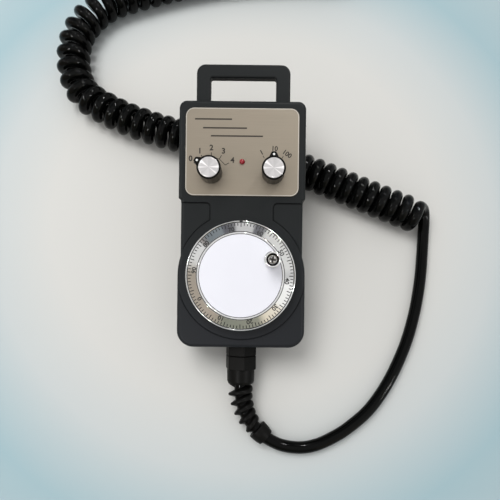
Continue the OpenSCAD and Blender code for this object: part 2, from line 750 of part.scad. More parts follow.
// Cable gland on the bottom wall, drawn along +Z from the wall outwards
gland_bore_r = cord_d / 2 + 0.3;
gland_sleeve_r = gland_thread_d / 2 + 0.4;
gland_nut_z = gland_base_l + gland_nut_gap;
gland_turn = 17;
gland_inside = 6;
gland_sleeve_l = 9;
gland_sleeve_t = 2;
gland_seal_z = 5;
lock_nut_t = 4;
lead_inside = 9;
dome_round = 2.5;

module on_bottom_wall() placed() translate([0, -bottom_reach, gland_z]) rotate([90, 0, 0]) children();

module gland_body() color([0.07, 0.07, 0.07]) on_bottom_wall() difference() {
    union() {
        rotate([0, 0, gland_turn]) hexagon(gland_af, gland_base_l);
        translate([0, 0, -wall - gland_inside]) cylinder(d = gland_thread_d, h = wall + gland_inside + eps);
        translate([0, 0, gland_base_l - eps]) cylinder(r = gland_sleeve_r, h = gland_sleeve_l);
    }
    translate([0, 0, -2 * gland_l]) cylinder(r = gland_bore_r, h = 4 * gland_l);
    translate([0, 0, gland_seal_z]) cylinder(r = gland_sleeve_r - gland_sleeve_t, h = gland_l);
}

module gland_seal() color([0.12, 0.12, 0.12]) on_bottom_wall() translate([0, 0, gland_seal_z])
    tube(gland_sleeve_r - gland_sleeve_t - eps, cord_d / 2 + eps,
        gland_base_l + gland_sleeve_l - 0.1 - gland_seal_z);

module gland_nut() color([0.07, 0.07, 0.07]) on_bottom_wall() translate([0, 0, gland_nut_z]) difference() {
    union() {
        rotate([0, 0, gland_turn]) hexagon(gland_af, gland_nut_l);
        translate([0, 0, gland_nut_l - eps]) rotate_extrude() polygon([[0, 0], [gland_af / 2, 0],
            [gland_af / 2 - 0.2, gland_dome_l - dome_round], [gland_end_r, gland_dome_l], [0, gland_dome_l]]);
    }
    translate([0, 0, -1]) cylinder(r = gland_sleeve_r + run_fit, h = gland_sleeve_l + 1);
    cylinder(r = gland_bore_r, h = gland_l);
}

module gland_lock_nut() color([0.1, 0.1, 0.1]) on_bottom_wall() difference() {
    translate([0, 0, -wall - lock_nut_t]) hexagon(gland_thread_d + 3, lock_nut_t);
    translate([0, 0, -wall - 2 * lock_nut_t]) cylinder(r = gland_thread_d / 2 + eps, h = 3 * lock_nut_t);
}

module inner_lead() color([0.05, 0.05, 0.05]) on_bottom_wall() translate([0, 0, -wall - lead_inside])
    cylinder(d = cord_d, h = wall + lead_inside + gland_l);

// Cords: points, smooth curve through them, and a tube swept along the curve
function unit(v) = v / norm(v);
function bend_point(p, i, t) = let (
    a = p[max(i - 1, 0)], b = p[i], c = p[i + 1], d = p[min(i + 2, len(p) - 1)])
    0.5 * (2 * b + (c - a) * t + (2 * a - 5 * b + 4 * c - d) * t * t + (3 * b - a - 3 * c + d) * t * t * t);
function curve(p, steps) = [for (i = [0 : len(p) - 2]) for (k = [0 : steps - 1])
    bend_point(p, i, k / steps), p[len(p) - 1]];
function rest(p) = [for (i = [1 : len(p) - 1]) p[i]];
function heading(q, i) = unit(q[min(i + 1, len(q) - 1)] - q[max(i - 1, 0)]);
function across(q, i) = unit(cross(heading(q, i), [0, 0, 1]));
function above(q, i) = cross(across(q, i), heading(q, i));

// Tube along the points of q from one index to another
module swept_tube(q, r, sides, from, to) {
    rings = to - from;
    points = [for (i = [from : to]) for (k = [0 : sides - 1]) let (a = k * 360 / sides)
        q[i] + r * cos(a) * across(q, i) + r * sin(a) * above(q, i)];
    walls = [for (i = [0 : rings - 1]) for (k = [0 : sides - 1]) let (n = (k + 1) % sides)
        each [[i * sides + k, i * sides + n, (i + 1) * sides + n],
            [i * sides + k, (i + 1) * sides + n, (i + 1) * sides + k]]];
    first = [[for (k = [sides - 1 : -1 : 0]) k]];
    last = [[for (k = [0 : sides - 1]) rings * sides + k]];
    polyhedron(points, concat(first, walls, last));
}

// Wires from the cord to the terminal block, under the encoder
wire_r = 2;
wire_low_z = wall + 5;
wire_start_y = -bottom_reach + wall + lead_inside + 0.8;
wire_points = [[0, wire_start_y, gland_z], [0, wire_start_y + 3.2, gland_z - 2],
    [0, wire_start_y + 10.2, wire_low_z], [0, -14, wire_low_z], [0, 14, wire_low_z],
    [0, block_y - 20, wire_low_z], [0, block_y - 4.8, board_top_z - main_board_t - block_h / 2]];

module wire_bundle() color([0.7, 0.65, 0.2]) placed()
    swept_tube(curve(wire_points, 2), wire_r, 8, 0, 2 * len(wire_points) - 2);

// Free cord, in the part's own frame with the table at Z = 0
cord_r = cord_d / 2;
curl_r = curl_d / 2;
mouth_p = seated([0, -bottom_reach - gland_l, gland_z]);
mouth_dir = [0, -cos(lean), -sin(lean)];
collar_z = 6.6;
guard_points = [mouth_p, mouth_p + 8 * mouth_dir, [2.5, -132, 9.4], [7.5, -142, 7.6], [14, -148.5, collar_z]];
collar_points = [[14, -148.5, collar_z], [17.5, -151.3, 6.3], [21.5, -153.8, 6]];
lead_points = [[21.5, -153.8, 6], [32, -158, 4.7], [44, -159.5, cord_r], [56, -158, cord_r],
    [68, -153, cord_r], [80, -146, cord_r], [95, -134, cord_r], [106, -121, cord_r],
    [115, -107.5, cord_r], [123, -93.5, cord_r], [129, -80, cord_r], [134, -66, cord_r],
    [138, -52, cord_r], [141.5, -37.5, cord_r], [144.5, -23, cord_r], [147, -8, cord_r],
    [149, 6, 5.5], [150, 17, 9], [149, 24, 13], [145.2, 26, 15]];
curl_start = [141.8, 17.2, curl_r];
curl_points = [curl_start, [110, 30.5, curl_r], [83, 42, curl_r], [56, 53.6, curl_r],
    [20, 67, curl_r], [-20, 78.5, curl_r], [-62, 88.5, curl_r], [-92, 98.5, curl_r],
    [-114.5, 109, curl_r], [-135, 122.6, curl_r], [-145.5, 141.4, curl_r], [-149, 163.5, curl_r],
    [-145.4, 185.3, curl_r], [-133.8, 203.5, curl_r], [-117, 216, curl_r], [-88, 227, curl_r],
    [-55, 237, curl_r], [-20, 244, curl_r], [20, 248, curl_r], [60, 250, curl_r], [96, 250, curl_r]];
bend_from = 7;
bend_to = 15;
tail_points = [[96, 250, cord_r], [110, 250, cord_r], [125, 250, cord_r], [144, 255, cord_r],
    [158, 269, cord_r], [163, 288, cord_r], [158, 307, cord_r], [144, 321, cord_r],
    [125, 326, cord_r], [95, 326, cord_r], [65, 326, cord_r], [40, 326, 5.5], [20, 326, 8.5],
    [4, 326, 11.2], [-8, 326, 12]];

// The path starts inside the gland and ends inside the plug, so that both ends are cut square
front_path = curve(concat([mouth_p - 8 * mouth_dir], guard_points, rest(collar_points),
    rest(lead_points)), 2);
tail_path = concat(tail_points, [tail_points[len(tail_points) - 1] - [12, 0, 0]]);

module front_lead() color([0.05, 0.05, 0.05]) swept_tube(front_path, cord_r, 10, 2, len(front_path) - 1);
module curl_under_housing() color([0.06, 0.06, 0.06]) swept_tube(curl_points, curl_r, 12, 0, bend_from);
module curl_bend() color([0.06, 0.06, 0.06]) swept_tube(curl_points, curl_r, 12, bend_from, bend_to);
module curl_far_run() color([0.06, 0.06, 0.06])
    swept_tube(curl_points, curl_r, 12, bend_to, len(curl_points) - 1);
module tail_lead() color([0.05, 0.05, 0.05]) swept_tube(tail_path, cord_r, 10, 0, len(tail_points) - 1);

// Spiral bend guard: a tapering thread wound round the first stretch of the cord
guard_turns = 6.5;
guard_steps = 14;
guard_in_r = cord_r + 0.3;
guard_start_r = gland_end_r;
guard_end_r = cord_r + 1.3;
guard_wire = 2.9;
// Shares of the cord's curve at which the thread starts and ends, clear of the gland and the collar
guard_from = 0.08;
guard_to = 0.92;
function along(q, u) = let (i = min(floor(u * (len(q) - 1)), len(q) - 2), t = u * (len(q) - 1) - i)
    q[i] * (1 - t) + q[i + 1] * t;
guard_curve = curve(guard_points, 6);
guard_n = ceil(guard_turns * guard_steps);

module bend_guard() color([0.07, 0.07, 0.07]) {
    q = guard_curve;
    points = [for (i = [0 : guard_n]) let (u = guard_from + (guard_to - guard_from) * i / guard_n,
        a = -i * 360 / guard_steps, p = along(q, u), h = unit(along(q, min(u + 0.01, 1)) - along(q, u - 0.01)),
        s = unit(cross(h, [0, 0, 1])), v = cross(s, h), n = cos(a) * s + sin(a) * v,
        r = guard_start_r + (guard_end_r - guard_start_r) * u, w = guard_wire / 2)
        each [p + guard_in_r * n - w * h, p + r * n - w * 0.5 * h, p + r * n + w * 0.5 * h,
            p + guard_in_r * n + w * h]];
    walls = [for (i = [0 : guard_n - 1]) for (k = [0 : 3]) let (n = (k + 1) % 4)
        each [[i * 4 + k, i * 4 + n, (i + 1) * 4 + n], [i * 4 + k, (i + 1) * 4 + n, (i + 1) * 4 + k]]];
    polyhedron(points, concat([[3, 2, 1, 0]], walls, [[for (k = [0 : 3]) guard_n * 4 + k]]));
}

collar_round = 1.2;

module bend_collar() color([0.08, 0.08, 0.08]) {
    h = unit(collar_points[2] - collar_points[0]);
    l = norm(collar_points[2] - collar_points[0]);
    translate(collar_points[0]) rotate([0, acos(h[2]), atan2(h[1], h[0])]) rotate_extrude()
        polygon([[guard_in_r + 0.3, 0], [guard_end_r, 0], [guard_end_r + 0.5, collar_round],
            [guard_end_r + 0.5, l - collar_round], [guard_end_r - 0.4, l], [guard_in_r + 0.3, l]]);
}

// Round plug at the end of the cord, drawn along +Z from its clamp to its mouth
plug_p = tail_points[len(tail_points) - 1];
ring_r_out = ring_d / 2;
mouth_r = mouth_d / 2;
plug_wall = 1.5;
plug_clamp_l = 13;
insert_r = mouth_r - 0.2;
insert_back = plug_clamp_l + 3;
insert_front = plug_clamp_l + plug_l - mouth_l;
ring_back = plug_clamp_l + 14;
contact_r = 0.8;
contact_wall = 0.35;
collar_l = 4;
ridge_r = 0.6;
ridge_in = 2;

module on_plug() translate([plug_p[0], plug_p[1], ring_r_out]) rotate([0, -90, 0]) children();

module plug_clamp() color([0.75, 0.75, 0.76]) on_plug() rotate_extrude() polygon([[0, 0],
    [cord_r + 1.4, 0], [cord_r + 2, 0.8], [mouth_r, plug_clamp_l / 2], [mouth_r, plug_clamp_l],
    [0, plug_clamp_l]]);

module plug_shell() color([0.78, 0.78, 0.8]) on_plug() difference() {
    union() {
        translate([0, 0, plug_clamp_l]) cylinder(r = mouth_r + plug_wall, h = plug_l);
        translate([0, 0, ring_back - collar_l])
            cylinder(r = mouth_r + plug_wall + 0.8, h = collar_l - part_gap);
    }
    translate([0, 0, insert_back]) cylinder(r = insert_r + eps, h = 2 * plug_l);
    translate([0, 0, insert_front]) cylinder(r = mouth_r, h = 2 * plug_l);
}

module coupling_ring() color([0.78, 0.78, 0.8]) on_plug() translate([0, 0, ring_back]) difference() {
    h = plug_clamp_l + plug_l - ring_back;
    union() {
        cylinder(r = ring_r_out - 0.4, h = h);
        for (a = [0 : 12 : 348]) rotate([0, 0, a]) translate([ring_r_out - ridge_r, 0, ridge_in])
            cylinder(r = ridge_r, h = h - 2 * ridge_in);
    }
    translate([0, 0, -1]) cylinder(r = mouth_r + plug_wall + run_fit, h = h + 2);
}

module contact_places() for (i = [0 : contacts - 1]) {
    ring_of_8 = min(contacts, 8);
    r = i < ring_of_8 ? insert_r - 2.2 : 2.6;
    a = i < ring_of_8 ? i * 360 / ring_of_8 : (i - ring_of_8) * 360 / max(contacts - ring_of_8, 1) + 45;
    rotate([0, 0, a]) translate([r, 0, 0]) children();
}

module plug_insert() color([0.1, 0.1, 0.1]) on_plug() difference() {
    translate([0, 0, insert_back]) cylinder(r = insert_r, h = insert_front - insert_back);
    translate([0, 0, insert_back - 1]) contact_places() cylinder(r = contact_r + eps, h = plug_l, $fn = 24);
}

module plug_pins() color([0.8, 0.65, 0.3]) on_plug() translate([0, 0, insert_back])
    contact_places() difference() {
        cylinder(r = contact_r, h = insert_front - insert_back, $fn = 24);
        translate([0, 0, 4]) cylinder(r = contact_r - contact_wall, h = plug_l, $fn = 24);
    }

front_shell();
back_shell();
shell_seal();
shell_screws();
face_plate();
dial_rim();
index_mark();
lamp_lens();
lamp_holder();
encoder_cup();
encoder_cover();
encoder_screws();
encoder_board();
optical_reader();
detent_spring();
bearing_outer_rings();
bearing_balls();
dial_ring();
dial_disc();
spindle();
hub_nut();
bearing_inner_rings();
detent_wheel();
code_disc();
finger_knob_screw();
finger_knob();
finger_knob_bush();
axis_switch_can();
axis_switch_nut();
axis_switch_pins();
axis_knob();
axis_knob_cap();
axis_shaft();
rate_switch_can();
rate_switch_nut();
rate_switch_pins();
rate_knob();
rate_knob_cap();
rate_shaft();
main_board();
terminal_block();
wire_bundle();
inner_lead();
gland_body();
gland_lock_nut();
gland_seal();
gland_nut();
bend_guard();
bend_collar();
front_lead();
curl_under_housing();
curl_bend();
curl_far_run();
tail_lead();
plug_clamp();
plug_shell();
coupling_ring();
plug_insert();
plug_pins();
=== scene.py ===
"""A hand-held pulse generator pendant: handwheel, two selectors, lamp, carrying loop and curly cord.

Shapes are drawn in millimetres in the housing's own frame, with the dial's axis as Z and the back as
Z = 0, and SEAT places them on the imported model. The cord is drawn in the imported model's frame.
"""

import json
import math
from types import SimpleNamespace

import bmesh
import bpy
from mathutils import Matrix, Vector


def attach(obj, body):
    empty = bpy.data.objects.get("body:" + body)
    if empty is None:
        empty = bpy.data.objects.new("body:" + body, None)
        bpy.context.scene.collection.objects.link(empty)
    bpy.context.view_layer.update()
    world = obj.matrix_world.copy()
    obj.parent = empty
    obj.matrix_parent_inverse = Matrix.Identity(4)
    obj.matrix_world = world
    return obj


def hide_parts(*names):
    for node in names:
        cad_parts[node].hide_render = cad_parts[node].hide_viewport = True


bl_info = {
    "name": "Pulse generator pendant",
    "version": (1, 0, 0),
    "blender": (4, 5, 0),
    "location": "3D View > Sidebar > Pendant",
    "description": "Dresses the packed pendant: housing, dial, selectors, gland and curly cord",
    "category": "Object",
}

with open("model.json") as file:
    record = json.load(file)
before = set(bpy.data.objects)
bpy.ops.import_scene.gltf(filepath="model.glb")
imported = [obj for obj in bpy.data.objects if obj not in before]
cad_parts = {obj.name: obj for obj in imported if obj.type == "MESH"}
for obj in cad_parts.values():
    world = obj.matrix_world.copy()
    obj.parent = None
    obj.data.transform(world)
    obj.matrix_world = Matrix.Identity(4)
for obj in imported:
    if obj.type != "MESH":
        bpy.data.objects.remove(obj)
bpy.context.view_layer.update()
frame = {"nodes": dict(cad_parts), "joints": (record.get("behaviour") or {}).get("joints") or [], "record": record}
NODES = frame["nodes"]
JOINTS = {joint["name"]: joint for joint in frame["joints"]}

# ---------------------------------------------------------------- places taken from the frame

MM = 0.001
DIAL_JOINT_Z = 45  # height of the dial joint's point above the housing's back, in mm
DIAL_AXIS = Vector(JOINTS["dial_turn"]["axis"])
LEAN = math.atan2(-DIAL_AXIS.y, DIAL_AXIS.z)
BACK_POINT = Vector(JOINTS["dial_turn"]["pos_m"]) - DIAL_JOINT_Z * MM * DIAL_AXIS
SEAT = Matrix.Translation(BACK_POINT) @ Matrix.Rotation(LEAN, 4, "X") @ Matrix.Scale(MM, 4)
FROM_SEAT = SEAT.inverted()
IN_METRES = Matrix.Scale(MM, 4)


def seated_box(node):
    """Lowest and highest corners of a CAD node in the housing's frame, in mm."""
    points = [FROM_SEAT @ vertex.co for vertex in NODES[node].data.vertices]
    low = Vector(min(p[k] for p in points) for k in range(3))
    high = Vector(max(p[k] for p in points) for k in range(3))
    return low, high


SHELL = seated_box("front_shell")
PLATE = seated_box("face_plate")
RIM = seated_box("dial_rim")
RING = seated_box("dial_ring")
DISC = seated_box("dial_disc")
FINGER = seated_box("finger_knob")
SKIRT = seated_box("rate_knob")
LAMP = seated_box("lamp_lens")
GLAND = seated_box("gland_nut")
FINGER_AT = FROM_SEAT @ Vector(JOINTS["finger_knob_spin"]["pos_m"])
AXIS_AT = FROM_SEAT @ Vector(JOINTS["axis_select"]["pos_m"])
RATE_AT = FROM_SEAT @ Vector(JOINTS["rate_select"]["pos_m"])
LAMP_AT = (0, (LAMP[0].y + LAMP[1].y) / 2)


# ---------------------------------------------------------------- sizes and colours to set


def length(name, description, millimetres):
    """A length to set, given in mm."""
    return bpy.props.FloatProperty(
        name=name, description=description, default=millimetres * MM, unit="LENGTH", precision=5
    )


def number(name, description, value):
    """A whole number to set."""
    return bpy.props.IntProperty(name=name, description=description, default=value, min=1)


def colour(name, description, value):
    """A colour to set."""
    return bpy.props.FloatVectorProperty(
        name=name, description=description, default=value, subtype="COLOR", size=3, min=0, max=1
    )


# Bores, clearances and small sizes that follow bought-in parts, in mm
HUB_BORE_R = 11.05
SHAFT_BORE_R = 4.05
LAMP_BORE_R = 3.0
LENS_R = 1.9
LENS_FOOT = 33.5  # height of the lens's hidden foot
POST_R = 3.6
SCREW_BORE_R = 1.55
SCREW_BORE_TOP = 26  # height up to which the posts are bored
SCREW_HEAD_R = 3.05
SCREW_HEAD_FLOOR = 2.9
GLAND_BORE_R = 8.05
GLAND_AXIS_Z = 20  # height of the gland's axis above the housing's back
CORD_BORE_R = 4.8  # the gland's bore for the cord
SKIRT_BORE_R = 6.12  # the selector knobs' bore over the switch's nut
SKIRT_BORE_TOP = 45.6
KNOB_BORE_R = 2.51  # the selector knobs' bore for the shaft
RELIEF_EDGE_R = 0.45  # rounding of the raised faces' edges
CHANNEL = 0.8  # width and depth of the groove round the raised faces


class HousingSizes(bpy.types.PropertyGroup):
    """Sizes of the two shells and the carrying loop."""

    panel_w: length("Panel width", "Width of the panel block at the top", 90)
    waist_w: length("Waist width", "Width of the waist below the panel block", 86.6)
    dial_w: length("Dial block width", "Width of the housing round the dial", SHELL[1].x - SHELL[0].x)
    top: length("Top reach", "From the dial's axis to the top edge", 124)
    bottom: length("Bottom reach", "From the dial's axis to the bottom edge", -SHELL[0].y)
    step: length("Step", "From the dial's axis to the step below the panel block", 54)
    edge_r: length("Edge rounding", "Rounding of the outer edges", 3)
    top_corner_r: length("Top corner", "Corner radius at the top", 5.5)
    bottom_corner_r: length("Bottom corner", "Corner radius at the bottom", 11.7)
    relief: length("Relief", "Rise of the panel and dial band over the lower face", 1)
    band_r: length("Dial band", "Radius of the raised band round the dial", 44.8)
    bridge_w: length("Bridge", "Width of the raised bridge between panel and dial", 44)
    panel_edge: length("Panel edge", "From the dial's axis to the raised panel's lower edge", 51.5)
    pocket_r: length("Pocket corner", "Corner radius of the low faces beside the bridge", 3.2)
    wall: length("Wall", "Wall thickness of both shells", 2.5)
    loop_w: length("Loop width", "Outer width of the carrying loop", 68)
    loop_side: length("Loop side bar", "Width of each side bar of the loop", 10.2)
    loop_top: length("Loop top bar", "Width of the loop's top bar", 9.7)
    loop_reach: length("Loop reach", "From the housing's top edge to the loop's end", 29.3)
    loop_root: length("Loop root", "How far the loop goes down into the housing", 12)
    loop_corner_r: length("Loop corner", "Corner radius of the loop", 6.5)
    loop_edge_r: length("Loop edge", "Rounding of the loop's edges", 1.5)
    loop_low: length("Loop back", "Height of the loop's back face", 23)
    loop_t: length("Loop thickness", "Thickness of the loop", 8)


class DialSizes(bpy.types.PropertyGroup):
    """Sizes of the handwheel's rim, ring, marks and finger knob."""

    rim_t: length("Rim wall", "Wall of the fixed rim", 1.0)
    lip_w: length("Lip", "Width of the lip round the disc", 1.2)
    ticks: number("Divisions", "Number of divisions on the ring", 100)
    tick_l: length("Short mark", "Length of a short division mark", 2.0)
    long_tick_l: length("Long mark", "Length of every fifth mark", 2.9)
    tick_w: length("Mark width", "Width of a division mark", 0.58)
    digit_h: length("Figure height", "Height of the figures on the ring", 3.2)
    digit_r: length("Figure radius", "Distance of the figures from the axis", 32)


class CordSizes(bpy.types.PropertyGroup):
    """Sizes of the curly cord and its bend guard."""

    cord_d: length("Cord diameter", "Diameter of the cord", 9)
    curl_d: length("Curl diameter", "Outer diameter of the curly part", 28)
    pitch: length("Curl pitch", "Distance from turn to turn of the curly part", 9.5)
    guard_turns: bpy.props.FloatProperty(
        name="Guard turns", description="Turns of the spiral bend guard", default=5.4, min=1
    )
    guard_w: length("Guard band", "Width of the guard's spiral band at its root", 5.0)
    guard_start_r: length("Guard start", "Outer radius of the guard at the gland", 9.6)
    guard_end_r: length("Guard end", "Outer radius of the guard at its far end", 6.6)
    collar_r: length("Collar", "Outer radius of the guard's end collar", 7.5)


class FinishColours(bpy.types.PropertyGroup):
    """Colours of the pieces that show."""

    housing: colour("Housing", "Charcoal of the shells", (0.0118, 0.0133, 0.0137))
    plate: colour("Faceplate", "Champagne of the faceplate", (0.315, 0.278, 0.222))
    disc: colour("Dial disc", "Satin white of the disc", (0.86, 0.86, 0.92))
    cord: colour("Cord", "Black of the cord", (0.0018, 0.0019, 0.0018))
    lamp: colour("Lamp", "Red of the signal lamp", (0.30, 0.005, 0.015))
    print_ink: colour("Print", "Ink of the scales", (0.018, 0.012, 0.008))


GROUPS = {
    "pendant_housing": HousingSizes,
    "pendant_dial": DialSizes,
    "pendant_cord": CordSizes,
    "pendant_colours": FinishColours,
}


def in_mm(group):
    """A property group's lengths in mm, and its other values as they are."""
    values = {}
    for key, prop in group.bl_rna.properties.items():
        if prop.type == "FLOAT" and prop.unit == "LENGTH":
            values[key] = getattr(group, key) / MM
        elif prop.type in ("FLOAT", "INT"):
            values[key] = getattr(group, key)
    return SimpleNamespace(**values)


# ---------------------------------------------------------------- node trees


class Value:
    """A socket of a node tree. Arithmetic on it adds Math nodes."""

    def __init__(self, graph, socket):
        self.graph = graph
        self.socket = socket

    def maths(self, operation, *values):
        return self.graph.node("ShaderNodeMath", {"operation": operation}, dict(enumerate(values)))

    def __add__(self, other):
        return self.maths("ADD", self, other)

    def __sub__(self, other):
        return self.maths("SUBTRACT", self, other)

    def __rsub__(self, other):
        return self.maths("SUBTRACT", other, self)

    def __mul__(self, other):
        return self.maths("MULTIPLY", self, other)

    def __truediv__(self, other):
        return self.maths("DIVIDE", self, other)

    def __mod__(self, other):
        return self.maths("MODULO", self, other)

    def __pow__(self, other):
        return self.maths("POWER", self, other)

    def __lt__(self, other):
        return self.maths("LESS_THAN", self, other)

    def __gt__(self, other):
        return self.maths("GREATER_THAN", self, other)

    __radd__ = __add__
    __rmul__ = __mul__

    def sine(self):
        return self.maths("SINE", self)

    def cosine(self):
        return self.maths("COSINE", self)


# The colour sockets of a Mix node, whose sockets share their names
MIX_FIRST, MIX_SECOND, MIX_RESULT = 6, 7, 2


class Graph:
    """A node tree that is filled through one method."""

    def __init__(self, tree):
        self.tree = tree
        tree.nodes.clear()

    def node(self, kind, settings=None, inputs=None, output=0):
        """Adds a node: its settings first, then the values or links of its sockets."""
        made = self.tree.nodes.new(kind)
        for key, value in (settings or {}).items():
            if key == "stops":
                self.set_stops(made.color_ramp, value)
            else:
                setattr(made, key, value)
        for key, value in (inputs or {}).items():
            if isinstance(value, Value):
                self.tree.links.new(value.socket, made.inputs[key])
            else:
                made.inputs[key].default_value = value
        return Value(self, made.outputs[output]) if made.outputs else made

    @staticmethod
    def set_stops(ramp, stops):
        while len(ramp.elements) < len(stops):
            ramp.elements.new(0.5)
        for element, (position, value) in zip(ramp.elements, stops):
            element.position = position
            element.color = (*value, 1)

    def mixed(self, factor, first, second):
        """A colour between two, which are colours or links."""
        first = first if isinstance(first, Value) else (*first, 1)
        second = second if isinstance(second, Value) else (*second, 1)
        inputs = {0: factor, MIX_FIRST: first, MIX_SECOND: second}
        return self.node("ShaderNodeMix", {"data_type": "RGBA"}, inputs, output=MIX_RESULT)

    def ramp(self, factor, stops):
        return self.node("ShaderNodeValToRGB", {"stops": stops}, {0: factor})

    def noise(self, vector, scale, detail=3.0, roughness=0.55):
        inputs = {"Vector": vector, "Scale": scale, "Detail": detail, "Roughness": roughness}
        return self.node("ShaderNodeTexNoise", None, inputs)

    def scaled(self, vector, factors):
        return self.node("ShaderNodeVectorMath", {"operation": "MULTIPLY"}, {0: vector, 1: factors})

    def parts(self, vector):
        """The X, Y and Z of a vector."""
        return [self.node("ShaderNodeSeparateXYZ", None, {0: vector}, output=k) for k in range(3)]


class Finish(Graph):
    """A procedural material."""

    def __init__(self, name):
        self.material = bpy.data.materials.new(name)
        self.material.use_nodes = True
        super().__init__(self.material.node_tree)

    def object_point(self):
        return self.node("ShaderNodeTexCoord", output="Object")

    def housing_point(self, centre=(0, 0, 0)):
        """The shaded point in the housing's frame, in metres from a point given in mm."""
        turn = Matrix.Rotation(-LEAN, 4, "X")
        origin = turn @ (SEAT @ Vector(centre))
        settings = {"vector_type": "POINT"}
        inputs = {"Vector": self.object_point(), "Location": -origin, "Rotation": (-LEAN, 0, 0)}
        return self.node("ShaderNodeMapping", settings, inputs)

    def bump(self, height, distance, strength=1.0):
        inputs = {"Height": height, "Distance": distance, "Strength": strength}
        return self.node("ShaderNodeBump", None, inputs)

    def surface(self, **sockets):
        """Ends the tree in one Principled shader and returns the material."""
        inputs = {}
        for key, value in sockets.items():
            if isinstance(value, tuple) and len(value) == 3:
                value = (*value, 1)
            inputs[key.replace("_", " ").title().replace("Ior", "IOR")] = value
        shader = self.node("ShaderNodeBsdfPrincipled", None, inputs)
        self.node("ShaderNodeOutputMaterial", None, {"Surface": shader})
        return self.material


# ---------------------------------------------------------------- materials


def shade(value, factor):
    """A colour made lighter or darker."""
    return tuple(min(1.0, channel * factor) for channel in value)


def moulded(name, base, roughness=0.45, grain=0.4, bump_depth=0.02, specular=0.4):
    """Moulded plastic: fine spark-eroded grain of a given size in mm, and slow changes of tone."""
    finish = Finish(name)
    point = finish.object_point()
    fine = finish.noise(point, 1 / (grain * MM), 2.0)
    broad = finish.noise(point, 45.0, 2.0)
    base_colour = finish.mixed(broad, shade(base, 0.82), shade(base, 1.22))
    rough = roughness - 0.08 + 0.16 * fine
    normal = finish.bump(fine, bump_depth * MM, 0.6)
    return finish.surface(
        base_color=base_colour, roughness=rough, specular_ior_level=specular, normal=normal
    )


def metal(name, base, roughness=0.22, grain=0.25, bump_depth=0.004, variation=0.1):
    """Plated or turned metal with faint handling marks."""
    finish = Finish(name)
    point = finish.object_point()
    fine = finish.noise(point, 1 / (grain * MM), 2.0)
    smear = finish.noise(finish.scaled(point, (1.0, 1.0, 0.4)), 160.0, 3.0)
    base_colour = finish.mixed(smear, shade(base, 1 - variation), base)
    rough = roughness - 0.04 + 0.08 * smear
    normal = finish.bump(fine, bump_depth * MM, 0.4)
    return finish.surface(base_color=base_colour, metallic=1.0, roughness=rough, normal=normal)


def tool_marks(finish, point, groove):
    """Waves round the middle of a housing point, one for each groove of a width in mm, and its X and Y."""
    x, y, _ = finish.parts(point)
    radius = (x * x + y * y) ** 0.5
    return (radius * (2 * math.pi / (groove * MM))).sine(), x, y


def turned_metal(name, base, centre, roughness, groove, depth):
    """Metal with fine circular tool marks round a point of the housing's frame."""
    finish = Finish(name)
    point = finish.housing_point(centre)
    ridges, _, _ = tool_marks(finish, point, groove)
    uneven = finish.noise(point, 220.0, 3.0)
    base_colour = finish.mixed(uneven, shade(base, 0.93), base)
    rough = roughness - 0.03 + 0.06 * uneven
    normal = finish.bump(ridges * 0.5 + uneven * 0.3, depth * MM, 1.0)
    return finish.surface(base_color=base_colour, metallic=1.0, roughness=rough, normal=normal)


def spun_cap_painted_rays(name, base, centre):
    """Spun aluminium: its fine circular grain is a bump, and the bright and dark rays from its middle are painted
    highlights in its colour.
    """
    finish = Finish(name)
    point = finish.housing_point(centre)
    ridges, x, y = tool_marks(finish, point, 0.22)
    turn = finish.node("ShaderNodeMath", {"operation": "ARCTAN2"}, {0: y, 1: x})
    # painted highlights: two narrow bright lines and broad waves by angle round the middle, set into the base
    # colour
    painted_level_streak = ((turn * 2.0 + 1.5).sine() * 0.5 + 0.5) ** 55.0
    painted_falling_streak = ((turn * 2.0 + 2.9).sine() * 0.5 + 0.5) ** 55.0
    broad = (turn * 3.0 + 0.4).sine() * 0.5 + (turn * 7.0 + 1.9).sine() * 0.3 + (turn * 11.0).sine() * 0.2
    rays = broad * 0.22 + 0.3 + painted_level_streak * 0.6 + painted_falling_streak * 0.7
    tones = ((0.1, 0.72), (0.45, 0.84), (0.9, 1.25))
    painted_glint = finish.ramp(rays, [(place, shade(base, tone)) for place, tone in tones])
    fine = finish.noise(point, 900.0, 2.0)
    normal = finish.bump(ridges * 0.5 + fine * 0.2, 0.004 * MM, 1.0)
    return finish.surface(base_color=painted_glint, metallic=0.65, roughness=0.26 + 0.1 * fine, normal=normal)


def housing_finish(colours):
    """The housing's plastic, a little lighter and bluer towards its lower end."""
    finish = Finish("charcoal_moulding")
    point = finish.housing_point()
    fine = finish.noise(point, 2600.0, 2.0)
    broad = finish.noise(point, 18.0, 3.0)
    _, y, _ = finish.parts(point)
    base = tuple(colours.housing)
    low_end = (0.04 - y) * 8.0
    cool = finish.mixed(low_end, base, (base[0] * 1.5, base[1] * 1.42, base[2] * 1.75))
    base_colour = finish.mixed(broad * 0.35, cool, shade(base, 1.5))
    rough = 0.38 + 0.14 * fine
    normal = finish.bump(fine, 0.018 * MM, 0.55)
    return finish.surface(base_color=base_colour, roughness=rough, specular_ior_level=0.14, normal=normal)


def plate_finish(colours):
    """Champagne anodised aluminium, brushed along X."""
    finish = Finish("champagne_brushed")
    point = finish.housing_point()
    lines = finish.noise(finish.scaled(point, (26.0, 2600.0, 26.0)), 1.0, 4.0, 0.65)
    cloud = finish.noise(point, 26.0, 3.0)
    base = tuple(colours.plate)
    streaked = finish.mixed(lines, shade(base, 0.86), shade(base, 1.12))
    base_colour = finish.mixed(cloud * 0.5, streaked, (base[0] * 1.1, base[1] * 1.02, base[2] * 0.98))
    rough = 0.34 + 0.14 * lines
    normal = finish.bump(lines, 0.012 * MM, 0.5)
    return finish.surface(base_color=base_colour, metallic=0.85, roughness=rough, normal=normal)


